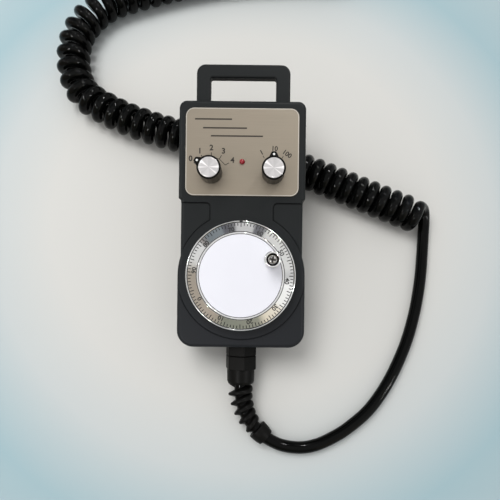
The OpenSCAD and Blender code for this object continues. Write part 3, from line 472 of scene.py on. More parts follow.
def disc_finish(colours):
    """The dial disc's satin white."""
    finish = Finish("satin_white_disc")
    point = finish.housing_point()
    grain = finish.noise(point, 3200.0, 2.0)
    cloud = finish.noise(point, 30.0, 2.0)
    base = tuple(colours.disc)
    base_colour = finish.mixed(cloud, shade(base, 0.97), shade(base, 1.03))
    rough = 0.34 + 0.1 * grain
    normal = finish.bump(grain, 0.003 * MM, 0.5)
    return finish.surface(base_color=base_colour, roughness=rough, normal=normal)


def cord_finish(colours):
    """Glossy, slightly uneven polyurethane."""
    finish = Finish("cord_polyurethane")
    point = finish.object_point()
    skin = finish.noise(point, 420.0, 3.0)
    fine = finish.noise(point, 2400.0, 2.0)
    base = tuple(colours.cord)
    base_colour = finish.mixed(skin, shade(base, 0.8), shade(base, 1.4))
    rough = 0.05 + 0.08 * skin
    normal = finish.bump(skin * 0.8 + fine * 0.2, 0.09 * MM, 0.8)
    return finish.surface(base_color=base_colour, roughness=rough, specular_ior_level=0.1, normal=normal)


def lamp_finish(colours):
    """The lamp's red lens."""
    finish = Finish("lamp_red")
    point = finish.object_point()
    glow = finish.noise(point, 900.0, 2.0)
    base = tuple(colours.lamp)
    base_colour = finish.mixed(glow, shade(base, 0.8), shade(base, 1.25))
    return finish.surface(base_color=base_colour, roughness=0.3 + 0.08 * glow, coat_weight=0.12)


def board_finish():
    """Green circuit board with paler tracks."""
    finish = Finish("circuit_board")
    point = finish.object_point()
    x, y, _ = finish.parts(point)
    tracks = ((x + y) * 1400.0).sine() > 0.55
    speckle = finish.noise(point, 600.0, 2.0)
    green = finish.mixed(speckle, (0.010, 0.075, 0.035), (0.018, 0.12, 0.055))
    base_colour = finish.mixed(tracks, green, (0.05, 0.22, 0.09))
    return finish.surface(base_color=base_colour, roughness=0.3 + 0.1 * speckle)


def floor_finish():
    """A pale floor, lighter in its middle and darker and bluer away from it: a painted pool of light with painted
    shade further out.
    """
    finish = Finish("pale_floor")
    point = finish.object_point()
    x, y, _ = finish.parts(point)
    away = (x * x + (y - 0.03) * (y - 0.03)) ** 0.5
    # painted light: the pale middle and the darker, bluer rings further out stand for the light's fall-off
    rings = finish.ramp(
        away * 2.5,
        [
            (0.0, (0.70, 0.68, 0.64)),
            (0.40, (0.69, 0.685, 0.655)),
            (0.52, (0.60, 0.64, 0.64)),
            (0.66, (0.36, 0.52, 0.57)),
            (1.0, (0.55, 0.60, 0.61)),
        ],
    )
    cloud = finish.noise(point, 9.0, 2.0)
    tone = finish.mixed(cloud * 0.12, rings, (0.62, 0.62, 0.60))
    return finish.surface(base_color=tone, roughness=0.85)


CAP_COLOUR = (0.80, 0.775, 0.77)
MATERIALS = {}


def make_materials(colours):
    """Fills MATERIALS with every finish, named as the record's slots are."""
    made = {
        "housing_plastic": housing_finish(colours),
        "seal_rubber": moulded("seal_rubber", (0.012, 0.012, 0.012), 0.6, grain=0.3),
        "screw_steel": metal("screw_steel", (0.52, 0.51, 0.50), 0.24, variation=0.3),
        "plate_aluminium": plate_finish(colours),
        # lighter metal of the strip painted as the plate edge's highlight
        "plate_edge": metal("plate_edge", (0.62, 0.58, 0.52), 0.4),
        "rim_chrome": metal("rim_chrome", (0.80, 0.80, 0.80), 0.10),
        "mark_ink": moulded("mark_ink", (0.008, 0.008, 0.008), 0.5, grain=0.2, bump_depth=0.005),
        "lamp_red": lamp_finish(colours),
        "black_plastic": moulded("black_nylon", (0.0042, 0.0041, 0.0037), 0.42, grain=0.5, specular=0.08),
        "encoder_metal": metal(
            "encoder_casting", (0.13, 0.13, 0.14), 0.5, grain=0.6, bump_depth=0.02, variation=0.2
        ),
        "board_green": board_finish(),
        "spring_steel": metal("spring_steel", (0.5, 0.48, 0.42), 0.3),
        "bearing_steel": metal("bearing_steel", (0.62, 0.62, 0.64), 0.14),
        "dial_chrome": turned_metal(
            "dial_chrome", (0.86, 0.86, 0.855), (0, 0, 0), 0.07, groove=0.35, depth=0.0006
        ),
        "disc_white": disc_finish(colours),
        "wheel_brass": metal("wheel_brass", (0.6, 0.46, 0.2), 0.3),
        "finger_chrome": metal("finger_chrome", (0.80, 0.80, 0.80), 0.13),
        "knob_plastic": moulded(
            "knob_moulding", (0.006, 0.0055, 0.0045), 0.34, grain=0.35, bump_depth=0.015, specular=0.1
        ),
        "cap_aluminium": spun_cap_painted_rays("rate_cap_spun", CAP_COLOUR, (RATE_AT.x, RATE_AT.y, 0)),
        "axis_cap": spun_cap_painted_rays("axis_cap_spun", CAP_COLOUR, (AXIS_AT.x, AXIS_AT.y, 0)),
        "terminal_green": moulded("terminal_green", (0.03, 0.17, 0.07), 0.4),
        "wire_yellow": moulded("wire_yellow", (0.5, 0.38, 0.06), 0.35),
        "cord_black": cord_finish(colours),
        "contact_gold": metal("contact_gold", (0.72, 0.53, 0.2), 0.2),
        "plug_chrome": metal("plug_chrome", (0.66, 0.66, 0.67), 0.24, grain=0.4, bump_depth=0.006),
        "print": moulded("scale_print", tuple(colours.print_ink), 0.5, grain=0.2, bump_depth=0.003),
        "pointer_white": moulded("pointer_white", (0.8, 0.8, 0.78), 0.4, grain=0.2, bump_depth=0.005),
    }
    MATERIALS.update(made)


# ---------------------------------------------------------------- building shapes


def linked(name, data):
    """A new object of the scene with the given data."""
    made = bpy.data.objects.new(name, data)
    bpy.context.scene.collection.objects.link(made)
    return made


def meshed(name, shape):
    """A new mesh object from a bmesh, which is used up."""
    mesh = bpy.data.meshes.new(name)
    shape.to_mesh(mesh)
    shape.free()
    return linked(name, mesh)


def fillet(points, steps=5):
    """A closed outline of (x, y, radius) corners with each corner rounded by its radius."""
    result = []
    count = len(points)
    for i, (x, y, radius) in enumerate(points):
        corner = Vector((x, y))
        if radius <= 0:
            result.append(corner)
            continue
        before = (Vector(points[i - 1][:2]) - corner).normalized()
        after = (Vector(points[(i + 1) % count][:2]) - corner).normalized()
        half = before.angle(after) / 2
        reach = radius / math.tan(half)
        centre = corner + (before + after).normalized() * (radius / math.sin(half))
        start = corner + before * reach - centre
        sweep = start.angle_signed(corner + after * reach - centre)
        for k in range(steps + 1):
            turn = -sweep * k / steps
            cosine, sine = math.cos(turn), math.sin(turn)
            spoke = Vector((start.x * cosine - start.y * sine, start.x * sine + start.y * cosine))
            result.append(centre + spoke)
    return result


def loft(name, rings, ends="capped"):
    """A skin over rings of points: its ends are capped, meet on an axis, or are joined in a loop."""
    shape = bmesh.new()
    rows = [[shape.verts.new(point) for point in ring] for ring in rings]
    count = len(rings[0])
    nexts = rows[1:] + (rows[:1] if ends == "joined" else [])
    for row, following in zip(rows, nexts):
        for i in range(count):
            k = (i + 1) % count
            shape.faces.new((row[i], row[k], following[k], following[i]))
    if ends == "capped":
        shape.faces.new(list(reversed(rows[0])))
        shape.faces.new(rows[-1])
    bmesh.ops.remove_doubles(shape, verts=shape.verts, dist=1e-5)
    bmesh.ops.dissolve_degenerate(shape, edges=shape.edges, dist=1e-6)
    bmesh.ops.recalc_face_normals(shape, faces=shape.faces)
    return meshed(name, shape)


def lathe(name, profile, segments=192, ends="joined", centre=(0, 0)):
    """A profile of (radius, height) points turned about an axis along Z."""
    turns = [2 * math.pi * k / segments for k in range(segments)]
    x, y = centre
    rings = [
        [(x + radius * math.cos(turn), y + radius * math.sin(turn), height) for turn in turns]
        for radius, height in profile
    ]
    return loft(name, rings, ends)


def turned(name, corners, segments, steps=4, centre=(0, 0)):
    """A closed profile of (radius, height, rounding) corners turned about an axis along Z."""
    return lathe(name, [(p.x, p.y) for p in fillet(corners, steps)], segments, centre=centre)


def peg(radius, low, high, place=(0, 0), segments=96):
    """A plain round bar along Z."""
    return lathe("peg", [(radius, low), (radius, high)], segments, "capped", place)


def levels(rings_of, low, high, round_low, round_high, steps=8):
    """Rings of a rounded block: rings_of(inset, height) from its low face to its high one."""
    quarter = [math.pi / 2 * k / steps for k in range(steps + 1)]
    rings = []
    for angle in quarter if round_low else quarter[:1]:
        inset, rise = round_low * (1 - math.sin(angle)), round_low * (1 - math.cos(angle))
        rings.append(rings_of(inset, low + rise))
    for angle in quarter if round_high else quarter[:1]:
        inset, drop = round_high * (1 - math.cos(angle)), round_high * (1 - math.sin(angle))
        rings.append(rings_of(inset, high - drop))
    return rings


def block(name, rings_of, low, high, round_low=0.0, round_high=0.0, steps=8):
    """A solid block with rounded edges, from rings_of(inset, height)."""
    return loft(name, levels(rings_of, low, high, round_low, round_high, steps))


def box_ring(width, height, corner, centre, z, steps=6):
    """A ring along a rounded rectangle."""
    x, y = width / 2, height / 2
    outline = fillet([(-x, -y, corner), (x, -y, corner), (x, y, corner), (-x, y, corner)], steps)
    return [(centre[0] + p.x, centre[1] + p.y, z) for p in outline]


def bake(piece):
    """Turns what a piece's modifiers make of it into its own mesh."""
    graph = bpy.context.evaluated_depsgraph_get()
    mesh = bpy.data.meshes.new_from_object(piece.evaluated_get(graph))
    piece.modifiers.clear()
    old = piece.data
    piece.data = mesh
    bpy.data.meshes.remove(old)
    return piece


def combined(piece, other, operation):
    """The piece joined with, cut by or kept inside another, which is used up."""
    step = piece.modifiers.new("Boolean", "BOOLEAN")
    step.operation = operation
    step.solver = "EXACT"
    step.object = other
    bake(piece)
    bpy.data.objects.remove(other)
    return piece


def joined(name, pieces):
    """One mesh object of several that lie apart."""
    shape = bmesh.new()
    for piece in pieces:
        shape.from_mesh(piece.data)
        bpy.data.objects.remove(piece)
    return meshed(name, shape)


def cut(piece, *tools):
    """The piece cut by tools that lie apart."""
    return combined(piece, joined("tools", tools), "DIFFERENCE")


def grown_with(piece, *others):
    """The piece made one with others that lie apart."""
    return combined(piece, joined("others", others), "UNION")


def settle(piece, material, body="housing", replaces=(), place=SEAT, smooth=32, flat_faces=True):
    """Places a finished piece, gives it its material and body, and smooths what is round."""
    piece.data.transform(place)
    piece.data.materials.clear()
    piece.data.materials.append(MATERIALS[material])
    piece.data.shade_smooth()
    piece.data.set_sharp_from_angle(angle=math.radians(smooth))
    if flat_faces:
        step = piece.modifiers.new("Flat faces", "WEIGHTED_NORMAL")
        step.keep_sharp = True
    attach(piece, body)
    if replaces:
        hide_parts(*replaces)
    return piece


FONT_SIZE = 1.39  # size of the font over the height of its figures


def lettering(text, height, spot, stroke=0.0):
    """Flat lettering as a mesh in mm: spot is the matrix of its middle."""
    curve = bpy.data.curves.new("lettering", "FONT")
    curve.body = text
    curve.size = height * FONT_SIZE
    curve.align_x = "CENTER"
    curve.align_y = "CENTER"
    curve.offset = stroke
    curve.extrude = 0.02
    curve.resolution_u = 4
    source = linked("lettering", curve)
    graph = bpy.context.evaluated_depsgraph_get()
    mesh = bpy.data.meshes.new_from_object(source.evaluated_get(graph))
    bpy.data.objects.remove(source)
    bpy.data.curves.remove(curve)
    mesh.transform(spot)
    return linked("lettering", mesh)


def bar(start, end, width, low, high):
    """A thin straight bar between two points, from one height to another."""
    start, end = Vector(start), Vector(end)
    across = (end - start).normalized().orthogonal() * width / 2
    corners = [start - across, end - across, end + across, start + across]
    return loft("bar", [[(p.x, p.y, z) for p in corners] for z in (low, high)])


# ---------------------------------------------------------------- geometry node trees


class Repeat(Graph):
    """A geometry tree with named inputs. It ends in Realize Instances and Set Material."""

    SOCKETS = {int: "NodeSocketInt", float: "NodeSocketFloat", "object": "NodeSocketObject"}

    def __init__(self, name, inputs):
        tree = bpy.data.node_groups.new(name, "GeometryNodeTree")
        super().__init__(tree)
        interface = tree.interface
        interface.new_socket("Geometry", in_out="INPUT", socket_type="NodeSocketGeometry")
        self.values = {"Geometry": None, **inputs}
        for key, value in inputs.items():
            kind = self.SOCKETS["object" if isinstance(value, bpy.types.Object) else type(value)]
            interface.new_socket(key, in_out="INPUT", socket_type=kind)
        interface.new_socket("Material", in_out="INPUT", socket_type="NodeSocketMaterial")
        interface.new_socket("Geometry", in_out="OUTPUT", socket_type="NodeSocketGeometry")
        self.source = tree.nodes.new("NodeGroupInput")

    def input(self, key):
        return Value(self, self.source.outputs[key])

    def finish(self, instances):
        real = self.node("GeometryNodeRealizeInstances", None, {0: instances})
        coloured = self.node("GeometryNodeSetMaterial", None, {0: real, "Material": self.input("Material")})
        self.node("NodeGroupOutput", None, {0: coloured})

    def grown(self, name, material):
        """A mesh object that holds what the tree makes from its inputs."""
        piece = linked(name, bpy.data.meshes.new(name))
        step = piece.modifiers.new("Repeat", "NODES")
        step.node_group = self.tree
        for item in self.tree.interface.items_tree:
            if item.in_out == "INPUT" and item.name in self.values and item.name != "Geometry":
                step[item.identifier] = self.values[item.name]
            elif item.in_out == "INPUT" and item.name == "Material":
                step[item.identifier] = MATERIALS[material]
        return bake(piece)


def ring_places(repeat, radius, height):
    """The turn of each instance round the axis, and the points on which they stand."""
    count = repeat.input("Count")
    angle = repeat.node("GeometryNodeInputIndex") * (2 * math.pi) / count
    place = {0: radius * angle.cosine(), 1: radius * angle.sine(), 2: height}
    position = repeat.node("ShaderNodeCombineXYZ", None, place)
    return angle, repeat.node("GeometryNodePoints", None, {"Count": count, "Position": position})


def division_ring(sizes, outer_r, outer_z, slope):
    """Division marks let into the ring's cone, every fifth one longer."""
    repeat = Repeat(
        "Division ring",
        {
            "Count": int(sizes.ticks),
            "Every": 5,
            "Radius": float(outer_r),
            "Height": float(outer_z),
            "Slope": float(slope),
            "Length": sizes.tick_l,
            "Long": sizes.long_tick_l,
            "Width": sizes.tick_w,
            "Thickness": 0.08,
        },
    )
    short, slope_in = repeat.input("Length"), repeat.input("Slope")
    is_long = (repeat.node("GeometryNodeInputIndex") % repeat.input("Every")) < 0.5
    mark_l = short + is_long * (repeat.input("Long") - short)
    height = repeat.input("Height") + mark_l * 0.5 * slope_in.sine() / slope_in.cosine()
    angle, points = ring_places(repeat, repeat.input("Radius") - mark_l * 0.5, height)
    turn = repeat.node("ShaderNodeCombineXYZ", None, {0: 0.0, 1: slope_in, 2: angle})
    scale = {0: mark_l, 1: repeat.input("Width"), 2: repeat.input("Thickness")}
    marks = {
        "Points": points,
        "Instance": repeat.node("GeometryNodeMeshCube"),
        "Rotation": turn,
        "Scale": repeat.node("ShaderNodeCombineXYZ", None, scale),
    }
    repeat.finish(repeat.node("GeometryNodeInstanceOnPoints", None, marks))
    return repeat.grown("dial_divisions", "mark_ink")


def rib_ring(count, radius, rib_r, low, high):
    """Round ribs standing along an axis, all round it."""
    repeat = Repeat(
        "Rib ring",
        {
            "Count": int(count),
            "Radius": float(radius),
            "Rib": float(rib_r),
            "Low": float(low),
            "Length": float(high - low),
        },
    )
    rib_l = repeat.input("Length")
    _, points = ring_places(repeat, repeat.input("Radius"), repeat.input("Low") + rib_l * 0.5)
    rib = repeat.node(
        "GeometryNodeMeshCylinder", None, {"Vertices": 12, "Radius": repeat.input("Rib"), "Depth": rib_l}
    )
    repeat.finish(repeat.node("GeometryNodeInstanceOnPoints", None, {"Points": points, "Instance": rib}))
    return repeat.grown("coupling_ribs", "plug_chrome")


# ---------------------------------------------------------------- cord

# The cord's route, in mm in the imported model's frame, from the gland to the plug
LEAD_POINTS = [
    (2.6, -132, 10), (6.9, -140.6, 8.6), (12.5, -146.4, 7.7), (15.7, -149.6, 7.3), (19.2, -152.7, 6.8),
    (30.5, -158, 5.1), (44, -159.8, 4.5), (56, -158, 4.5), (68, -153, 4.5), (80, -146, 4.5),
    (95, -134, 4.5), (106, -121, 4.5), (114.8, -107.5, 4.5), (122.2, -93.5, 4.5), (128.2, -80, 4.5),
    (133.1, -66, 4.5), (137.1, -52, 4.5), (140.3, -37.5, 4.5), (142.8, -23, 4.5), (144.7, -8, 4.5),
    (146, 6, 5.5), (146.2, 17, 8.5), (144.8, 25, 13),
]
CURL_POINTS = [
    (138.6, 18.5), (110, 30.5), (83, 42), (56, 53.6), (20, 67), (-20, 78.5), (-62, 88.5), (-92, 98.5),
    (-114.5, 109), (-135, 122.6), (-145.5, 141.4), (-149, 163.5), (-145.4, 185.3), (-133.8, 203.5),
    (-117, 216), (-88, 227), (-55, 237), (-20, 244), (20, 248), (60, 250), (96, 250),
]
TAIL_POINTS = [
    (110, 250, 4.5), (125, 250, 4.5), (144, 255, 4.5), (158, 269, 4.5), (163, 288, 4.5), (158, 307, 4.5),
    (144, 321, 4.5), (125, 326, 4.5), (95, 326, 4.5), (65, 326, 4.5), (40, 326, 5.5), (20, 326, 8.5),
    (4, 326, 11.2), (-8, 326, 12),
]
BEND_MIDDLE = (-150, 150)
BEND_STRETCH = 0.32  # how much further apart the turns stand in the middle of the bend
BEND_REACH = 110
TURN_LEAN = 0.14  # lean of each turn along the curl, as a share of its radius
CURL_STEPS = 28  # points in each turn of the curl
EASE_TURNS = 1.3  # turns over which the curl's end eases into the tail
EASE_ONWARD = 14  # how far the easing end is drawn on along the curl
CURL_JOINT = 5  # the curl's point at which the lead has run into it
TIGHTEST = 0.6  # tightest bend where lead, curl and tail meet, in cord diameters
GUARD_STRAIGHT = 8  # straight stretch of the cord out of the gland
GUARD_END = 3  # number of lead points that the bend guard covers
GUARD_STEP = 0.25  # distance of the points along the cord under the bend guard
GUARD_MARGIN = 1.2  # stretch that the guard leaves free at both of its ends
GUARD_STEPS = 48  # sections in each turn of the bend guard
COLLAR_END = 5  # number of lead points up to the end of the collar


def spline(points, steps):
    """A smooth curve through the points, with a number of steps from each to the next."""
    points = [Vector(p) for p in points]
    last = len(points) - 1
    result = []
    for i in range(last):
        a, b, c, d = points[max(i - 1, 0)], points[i], points[i + 1], points[min(i + 2, last)]
        for k in range(steps):
            t = k / steps
            bend = (2 * a - 5 * b + 4 * c - d) * t * t + (3 * b - a - 3 * c + d) * t ** 3
            result.append(0.5 * (2 * b + (c - a) * t + bend))
    return result + [points[last]]


def spaced(points, step, opening=lambda point: 1.0):
    """Points along a line at equal distances, or further apart where the opening is more than 1."""
    result = [points[0]]
    need = step * opening(points[0])
    for a, b in zip(points, points[1:]):
        gap = (b - a).length
        while gap and need <= gap:
            result.append(a.lerp(b, need / gap))
            need += step * opening(result[-1])
        need -= gap
    return result


def curl_opening(point):
    """How far the turns stand apart: the curl is stretched round its bend."""
    away = (point - Vector((*BEND_MIDDLE, point.z))).length
    return 1 + BEND_STRETCH * math.exp(-((away / BEND_REACH) ** 2))


def line_length(points):
    return sum((b - a).length for a, b in zip(points, points[1:]))


def gland_place(y):
    """Turns a piece drawn along Z to point out of the housing's bottom, in the housing's frame."""
    return Matrix.Translation((0, y, GLAND_AXIS_Z)) @ Matrix.Rotation(math.pi / 2, 4, "X")


def gland_mouth():
    """The middle of the gland's mouth and the cord's direction there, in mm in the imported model's frame."""
    axis_z = (GLAND[0].z + GLAND[1].z) / 2
    mouth = SEAT @ Vector((0, GLAND[0].y, axis_z)) / MM
    return mouth, Vector((0, -math.cos(LEAN), -math.sin(LEAN)))


def curl(sizes):
    """The curly part: a left-handed helix along its own smooth axis, easing into the tail at its end."""
    axis_z = sizes.curl_d / 2
    turn_r = (sizes.curl_d - sizes.cord_d) / 2
    line = spline([(x, y, axis_z) for x, y in CURL_POINTS], 12)
    axis = spaced(line, sizes.pitch / CURL_STEPS, curl_opening)
    ease = int(EASE_TURNS * CURL_STEPS)
    result = []
    for i, point in enumerate(axis):
        ahead = (axis[min(i + 1, len(axis) - 1)] - axis[max(i - 1, 0)]).normalized()
        side = ahead.cross(Vector((0, 0, 1)))
        angle = 2 * math.pi * i / CURL_STEPS
        out = max(0.0, (i - (len(axis) - 1 - ease)) / ease)
        fade = out * out * (3 - 2 * out)
        radius = turn_r * (1 - fade)
        drop = Vector((0, 0, -turn_r * fade))
        onward = ahead * (EASE_ONWARD * fade)
        around = side * math.cos(angle) + Vector((0, 0, math.sin(angle)))
        around += ahead * (TURN_LEAN * math.cos(angle))
        result.append(point + drop + onward + radius * around)
    return result


def eased(points, joints, least, rounds=60, reach=22):
    """The path with the bends near its joints, if tighter than a least radius in mm, drawn out."""
    points = list(points)
    near = [i for joint in joints for i in range(joint - reach, joint + reach + 1)]
    for _ in range(rounds):
        tight = set()
        for i in near:
            before, after = points[i] - points[i - 1], points[i + 1] - points[i]
            if before.angle(after, 0) * least > (before.length + after.length) / 2:
                tight.update(range(i - 3, i + 4))
        if not tight:
            break
        points = [
            (points[i - 1] + point * 2 + points[i + 1]) / 4 if i in tight else point
            for i, point in enumerate(points)
        ]
    return points


def cord_path(sizes):
    """The whole cord from the gland's mouth to the plug: smooth lead, curl and smooth tail."""
    mouth, out = gland_mouth()
    turns = curl(sizes)
    lead = spline([mouth, mouth + GUARD_STRAIGHT * out, *LEAD_POINTS, turns[CURL_JOINT - 1]], 6)
    curly = turns[CURL_JOINT:-1]
    tail = spline([turns[-1], *TAIL_POINTS[1:]], 6)
    joints = (len(lead), len(lead) + len(curly))
    return eased(lead + curly + tail, joints, sizes.cord_d * TIGHTEST)


class PENDANT_OT_cord(bpy.types.Operator):
    """Lays the curly cord from the gland to its plug"""

    bl_idname = "pendant.cord"
    bl_label = "Cord"

    def execute(self, context):
        sizes = in_mm(context.scene.pendant_cord)
        path = [point * MM for point in cord_path(sizes)]
        curve = bpy.data.curves.new("pendant_cord", "CURVE")
        curve.dimensions = "3D"
        curve.twist_mode = "MINIMUM"
        line = curve.splines.new("POLY")
        line.points.add(len(path) - 1)
        for point, place in zip(line.points, path):
            point.co = (*place, 1)
        line.use_smooth = True
        curve.bevel_depth = sizes.cord_d / 2 * MM
        curve.bevel_resolution = 6
        curve.use_fill_caps = True
        curve.materials.append(MATERIALS["cord_black"])
        cord = linked("pendant_cord", curve)
        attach(cord, "housing")
        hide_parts("front_lead", "curl_under_housing", "curl_bend", "curl_far_run", "tail_lead")
        return {"FINISHED"}


def guard_rings(sizes, inner_r):
    """The sections of the spiral bend guard, one after another along its thread."""
    mouth, out = gland_mouth()
    cord_line = spline([mouth, mouth + GUARD_STRAIGHT * out, *LEAD_POINTS[:GUARD_END]], 8)
    line = spaced(cord_line, GUARD_STEP)
    end = len(line) - 1
    first = int(GUARD_MARGIN / GUARD_STEP)
    last = end - first
    root = sizes.guard_w / 2
    count = int(sizes.guard_turns * GUARD_STEPS)
    rings = []
    for i in range(count + 1):
        share = i / count
        at = first + share * (last - first)
        low = int(at)
        point = line[low].lerp(line[min(low + 1, end)], at - low)
        ahead = (line[min(low + 4, end)] - line[max(low - 4, 0)]).normalized()
        side = ahead.cross(Vector((0, 0, 1))).normalized()
        angle = -2 * math.pi * i / GUARD_STEPS
        spoke = math.cos(angle) * side + math.sin(angle) * side.cross(ahead)
        # the band grows out of the cord at both ends, and its edge is wider on one side of the cord
        swell = min(1.0, share * 14 + 0.7, (1 - share) * 14 + 0.25)
        taper = sizes.guard_start_r + (sizes.guard_end_r - sizes.guard_start_r) * share
        outer_r = inner_r + (taper - inner_r) * swell
        one_side = 0.5 - 0.5 * math.cos(angle)
        tip = 0.75 + (root - 1.25) * one_side
        tip_r = tip * 0.9
        corners = [(inner_r, -root, 0), (outer_r, -tip, tip_r), (outer_r, tip, tip_r), (inner_r, root, 0)]
        rings.append([point + spoke * p.x + ahead * p.y for p in fillet(corners, 4)])
    return rings


class PENDANT_OT_bend_guard(bpy.types.Operator):
    """Winds the tapering spiral guard and its end collar round the cord"""

    bl_idname = "pendant.bend_guard"
    bl_label = "Bend guard"

    def execute(self, context):
        sizes = in_mm(context.scene.pendant_cord)
        inner_r = sizes.cord_d / 2 + 0.15
        guard = loft("spiral_bend_guard", guard_rings(sizes, inner_r))
        settle(guard, "black_plastic", "housing", ["bend_guard"], IN_METRES, flat_faces=False, smooth=50)

        start, end = (Vector(LEAD_POINTS[count - 1]) for count in (GUARD_END, COLLAR_END))
        along = end - start
        reach = along.length
        corners = [
            (inner_r, 0, 0.2), (sizes.collar_r, 0, 0.4), (sizes.collar_r - 0.2, reach * 0.5, 6.0),
            (sizes.collar_r - 1, reach, 0.5), (inner_r, reach, 0.2),
        ]
        collar = turned("bend_guard_collar", corners, 64, steps=5)
        place = IN_METRES @ Matrix.Translation(start) @ along.to_track_quat("Z", "Y").to_matrix().to_4x4()
        settle(collar, "black_plastic", "housing", ["bend_collar"], place, flat_faces=False, smooth=45)
        return {"FINISHED"}


# ---------------------------------------------------------------- housing


# The housing widens at its step with a smooth ramp: how far below the step it starts, and its length
STEP_LEAD = 0.7
STEP_RAMP = 1.6


def housing_side(sizes, y):
    """Half of the housing's width at a distance from the dial's axis."""
    if y < 0:
        return sizes.dial_w / 2
    half = sizes.waist_w / 2
    if y < sizes.dial_w / 2:
        half = max(half, math.sqrt((sizes.dial_w / 2) ** 2 - y * y))
    share = min(1.0, max(0.0, (y - sizes.step + STEP_LEAD) / STEP_RAMP))
    return half + (sizes.panel_w / 2 - half) * share * share * (3 - 2 * share)


def arc(centre, radius, start, steps):
    """Points along a quarter circle from a starting angle in degrees."""
    angles = [math.radians(start + 90 * k / steps) for k in range(steps + 1)]
    return [(centre[0] + radius * math.cos(a), centre[1] + radius * math.sin(a)) for a in angles]


# Distances from the dial's axis at which the housing's sides have points
SIDE_STOPS = (
    -30, -15, 0, 3, 6, 9, 11, 12.5, 13.7, 16, 30, 45, 52, 53.3, 53.7, 54.1, 54.5, 54.9, 56, 80, 100,
)


def housing_ring(sizes, inset, z):
    """The housing's outline pulled in by an inset."""
    low_r, top_r = sizes.bottom_corner_r, sizes.top_corner_r
    right = arc((sizes.dial_w / 2 - low_r, -sizes.bottom + low_r), low_r - inset, -90, 10)
    right += [(housing_side(sizes, y) - inset, y) for y in SIDE_STOPS]
    right += arc((sizes.panel_w / 2 - top_r, sizes.top - top_r), top_r - inset, 0, 8)
    left = [(-x, y) for x, y in reversed(right)]
    return [(x, y, z) for x, y in right + left]


def housing_block(sizes, name, inset, low, high, round_low=0.0, round_high=0.0):
    """A block along the housing's outline, pulled in by an inset."""
    return block(name, lambda i, z: housing_ring(sizes, inset + i, z), low, high, round_low, round_high)


def raised_ring(sizes, inset, z):
    """Outline of the raised faces: panel, bridge and dial band."""
    radius = sizes.band_r - inset
    half = sizes.bridge_w / 2 - inset
    edge = sizes.panel_edge + inset
    reach = math.acos(half / radius)
    steps = 160
    points = []
    for k in range(steps + 1):
        angle = reach - (math.pi + 2 * reach) * k / steps
        points.append((radius * math.cos(angle), radius * math.sin(angle)))
    pocket_r, far = sizes.pocket_r, sizes.panel_w
    corner = arc((sizes.bridge_w / 2 + pocket_r, sizes.panel_edge - pocket_r), pocket_r + inset, 90, 8)
    points += [(-x, y) for x, y in reversed(corner)]
    points += [(-far, edge), (-far, 2 * far), (far, 2 * far), (far, edge)] + corner
    return [(x, y, z) for x, y in points]


def screw_places(sizes):
    """The four shell screws, near the housing's corners."""
    near_top = sizes.wall + 2.6
    near_low = near_top + 3
    top_x, top_y = sizes.panel_w / 2 - near_top, sizes.top - near_top
    low_x, low_y = sizes.dial_w / 2 - near_low, -sizes.bottom + near_low
    return [(top_x, top_y), (-top_x, top_y), (low_x, low_y), (-low_x, low_y)]


def screw_pegs(sizes, radius, low, high, segments):
    """A round bar at the place of each shell screw."""
    return [peg(radius, low, high, place, segments) for place in screw_places(sizes)]


def loop_bars(sizes):
    """The carrying loop as a rounded ring whose lower bar lies inside the housing."""
    middle = (0, sizes.top + (sizes.loop_reach - sizes.loop_root) / 2)
    height = sizes.loop_reach + sizes.loop_root
    hole_w = sizes.loop_w - 2 * sizes.loop_side
    hole_low = sizes.top - sizes.loop_root / 2
    hole_high = sizes.top + sizes.loop_reach - sizes.loop_top
    hole_h = hole_high - hole_low
    hole_at = (0, (hole_low + hole_high) / 2)
    edge = sizes.loop_edge_r

    def outer(inset, z):
        corner = sizes.loop_corner_r - inset
        return box_ring(sizes.loop_w - 2 * inset, height - 2 * inset, corner, middle, z, 8)

    def inner(inset, z):
        return box_ring(hole_w + 2 * inset, hole_h + 2 * inset, edge + inset, hole_at, z, 8)

    low, high = sizes.loop_low, sizes.loop_low + sizes.loop_t
    rings = levels(outer, low, high, edge, edge, 5)
    rings += reversed(levels(inner, low, high, edge, edge, 5))
    return loft("loop", rings, "joined")


def front_shell(sizes):
    """The front shell: raised faces over a lower one, the loop, a hollow inside, screw posts and bores."""
    low, high = SHELL[0].z, SHELL[1].z
    face = high - sizes.relief
    inner = face - sizes.wall
    raised = housing_block(sizes, "raised", 0, low, high, 0, sizes.edge_r)
    band = block("band", lambda i, z: raised_ring(sizes, i, z), low - 1, high, 0, RELIEF_EDGE_R, 4)
    raised = combined(raised, band, "INTERSECT")
    front = housing_block(sizes, "housing_front", 0, low, face, 0, sizes.edge_r)
    channel = [raised_ring(sizes, -CHANNEL, z) for z in (face - CHANNEL, high + 1)]
    front = cut(front, loft("channel", channel))
    front = grown_with(front, raised)
    front = grown_with(front, loop_bars(sizes))
    front = cut(front, housing_block(sizes, "cavity", sizes.wall, low - 1, inner))
    front = grown_with(front, *screw_pegs(sizes, POST_R, low, inner + 0.5, 32))
    bores = [peg(HUB_BORE_R, inner - 1, high + 1), peg(LAMP_BORE_R, inner - 1, high + 1, LAMP_AT, 48)]
    bores += [peg(SHAFT_BORE_R, inner - 1, high + 1, at, 48) for at in (AXIS_AT.xy, RATE_AT.xy)]
    bores += screw_pegs(sizes, SCREW_BORE_R, low - 1, SCREW_BORE_TOP, 24)
    front = cut(front, *bores)
    gland_bore = peg(GLAND_BORE_R, -1, 12)
    gland_bore.data.transform(gland_place(-sizes.bottom + 6))
    return cut(front, gland_bore)


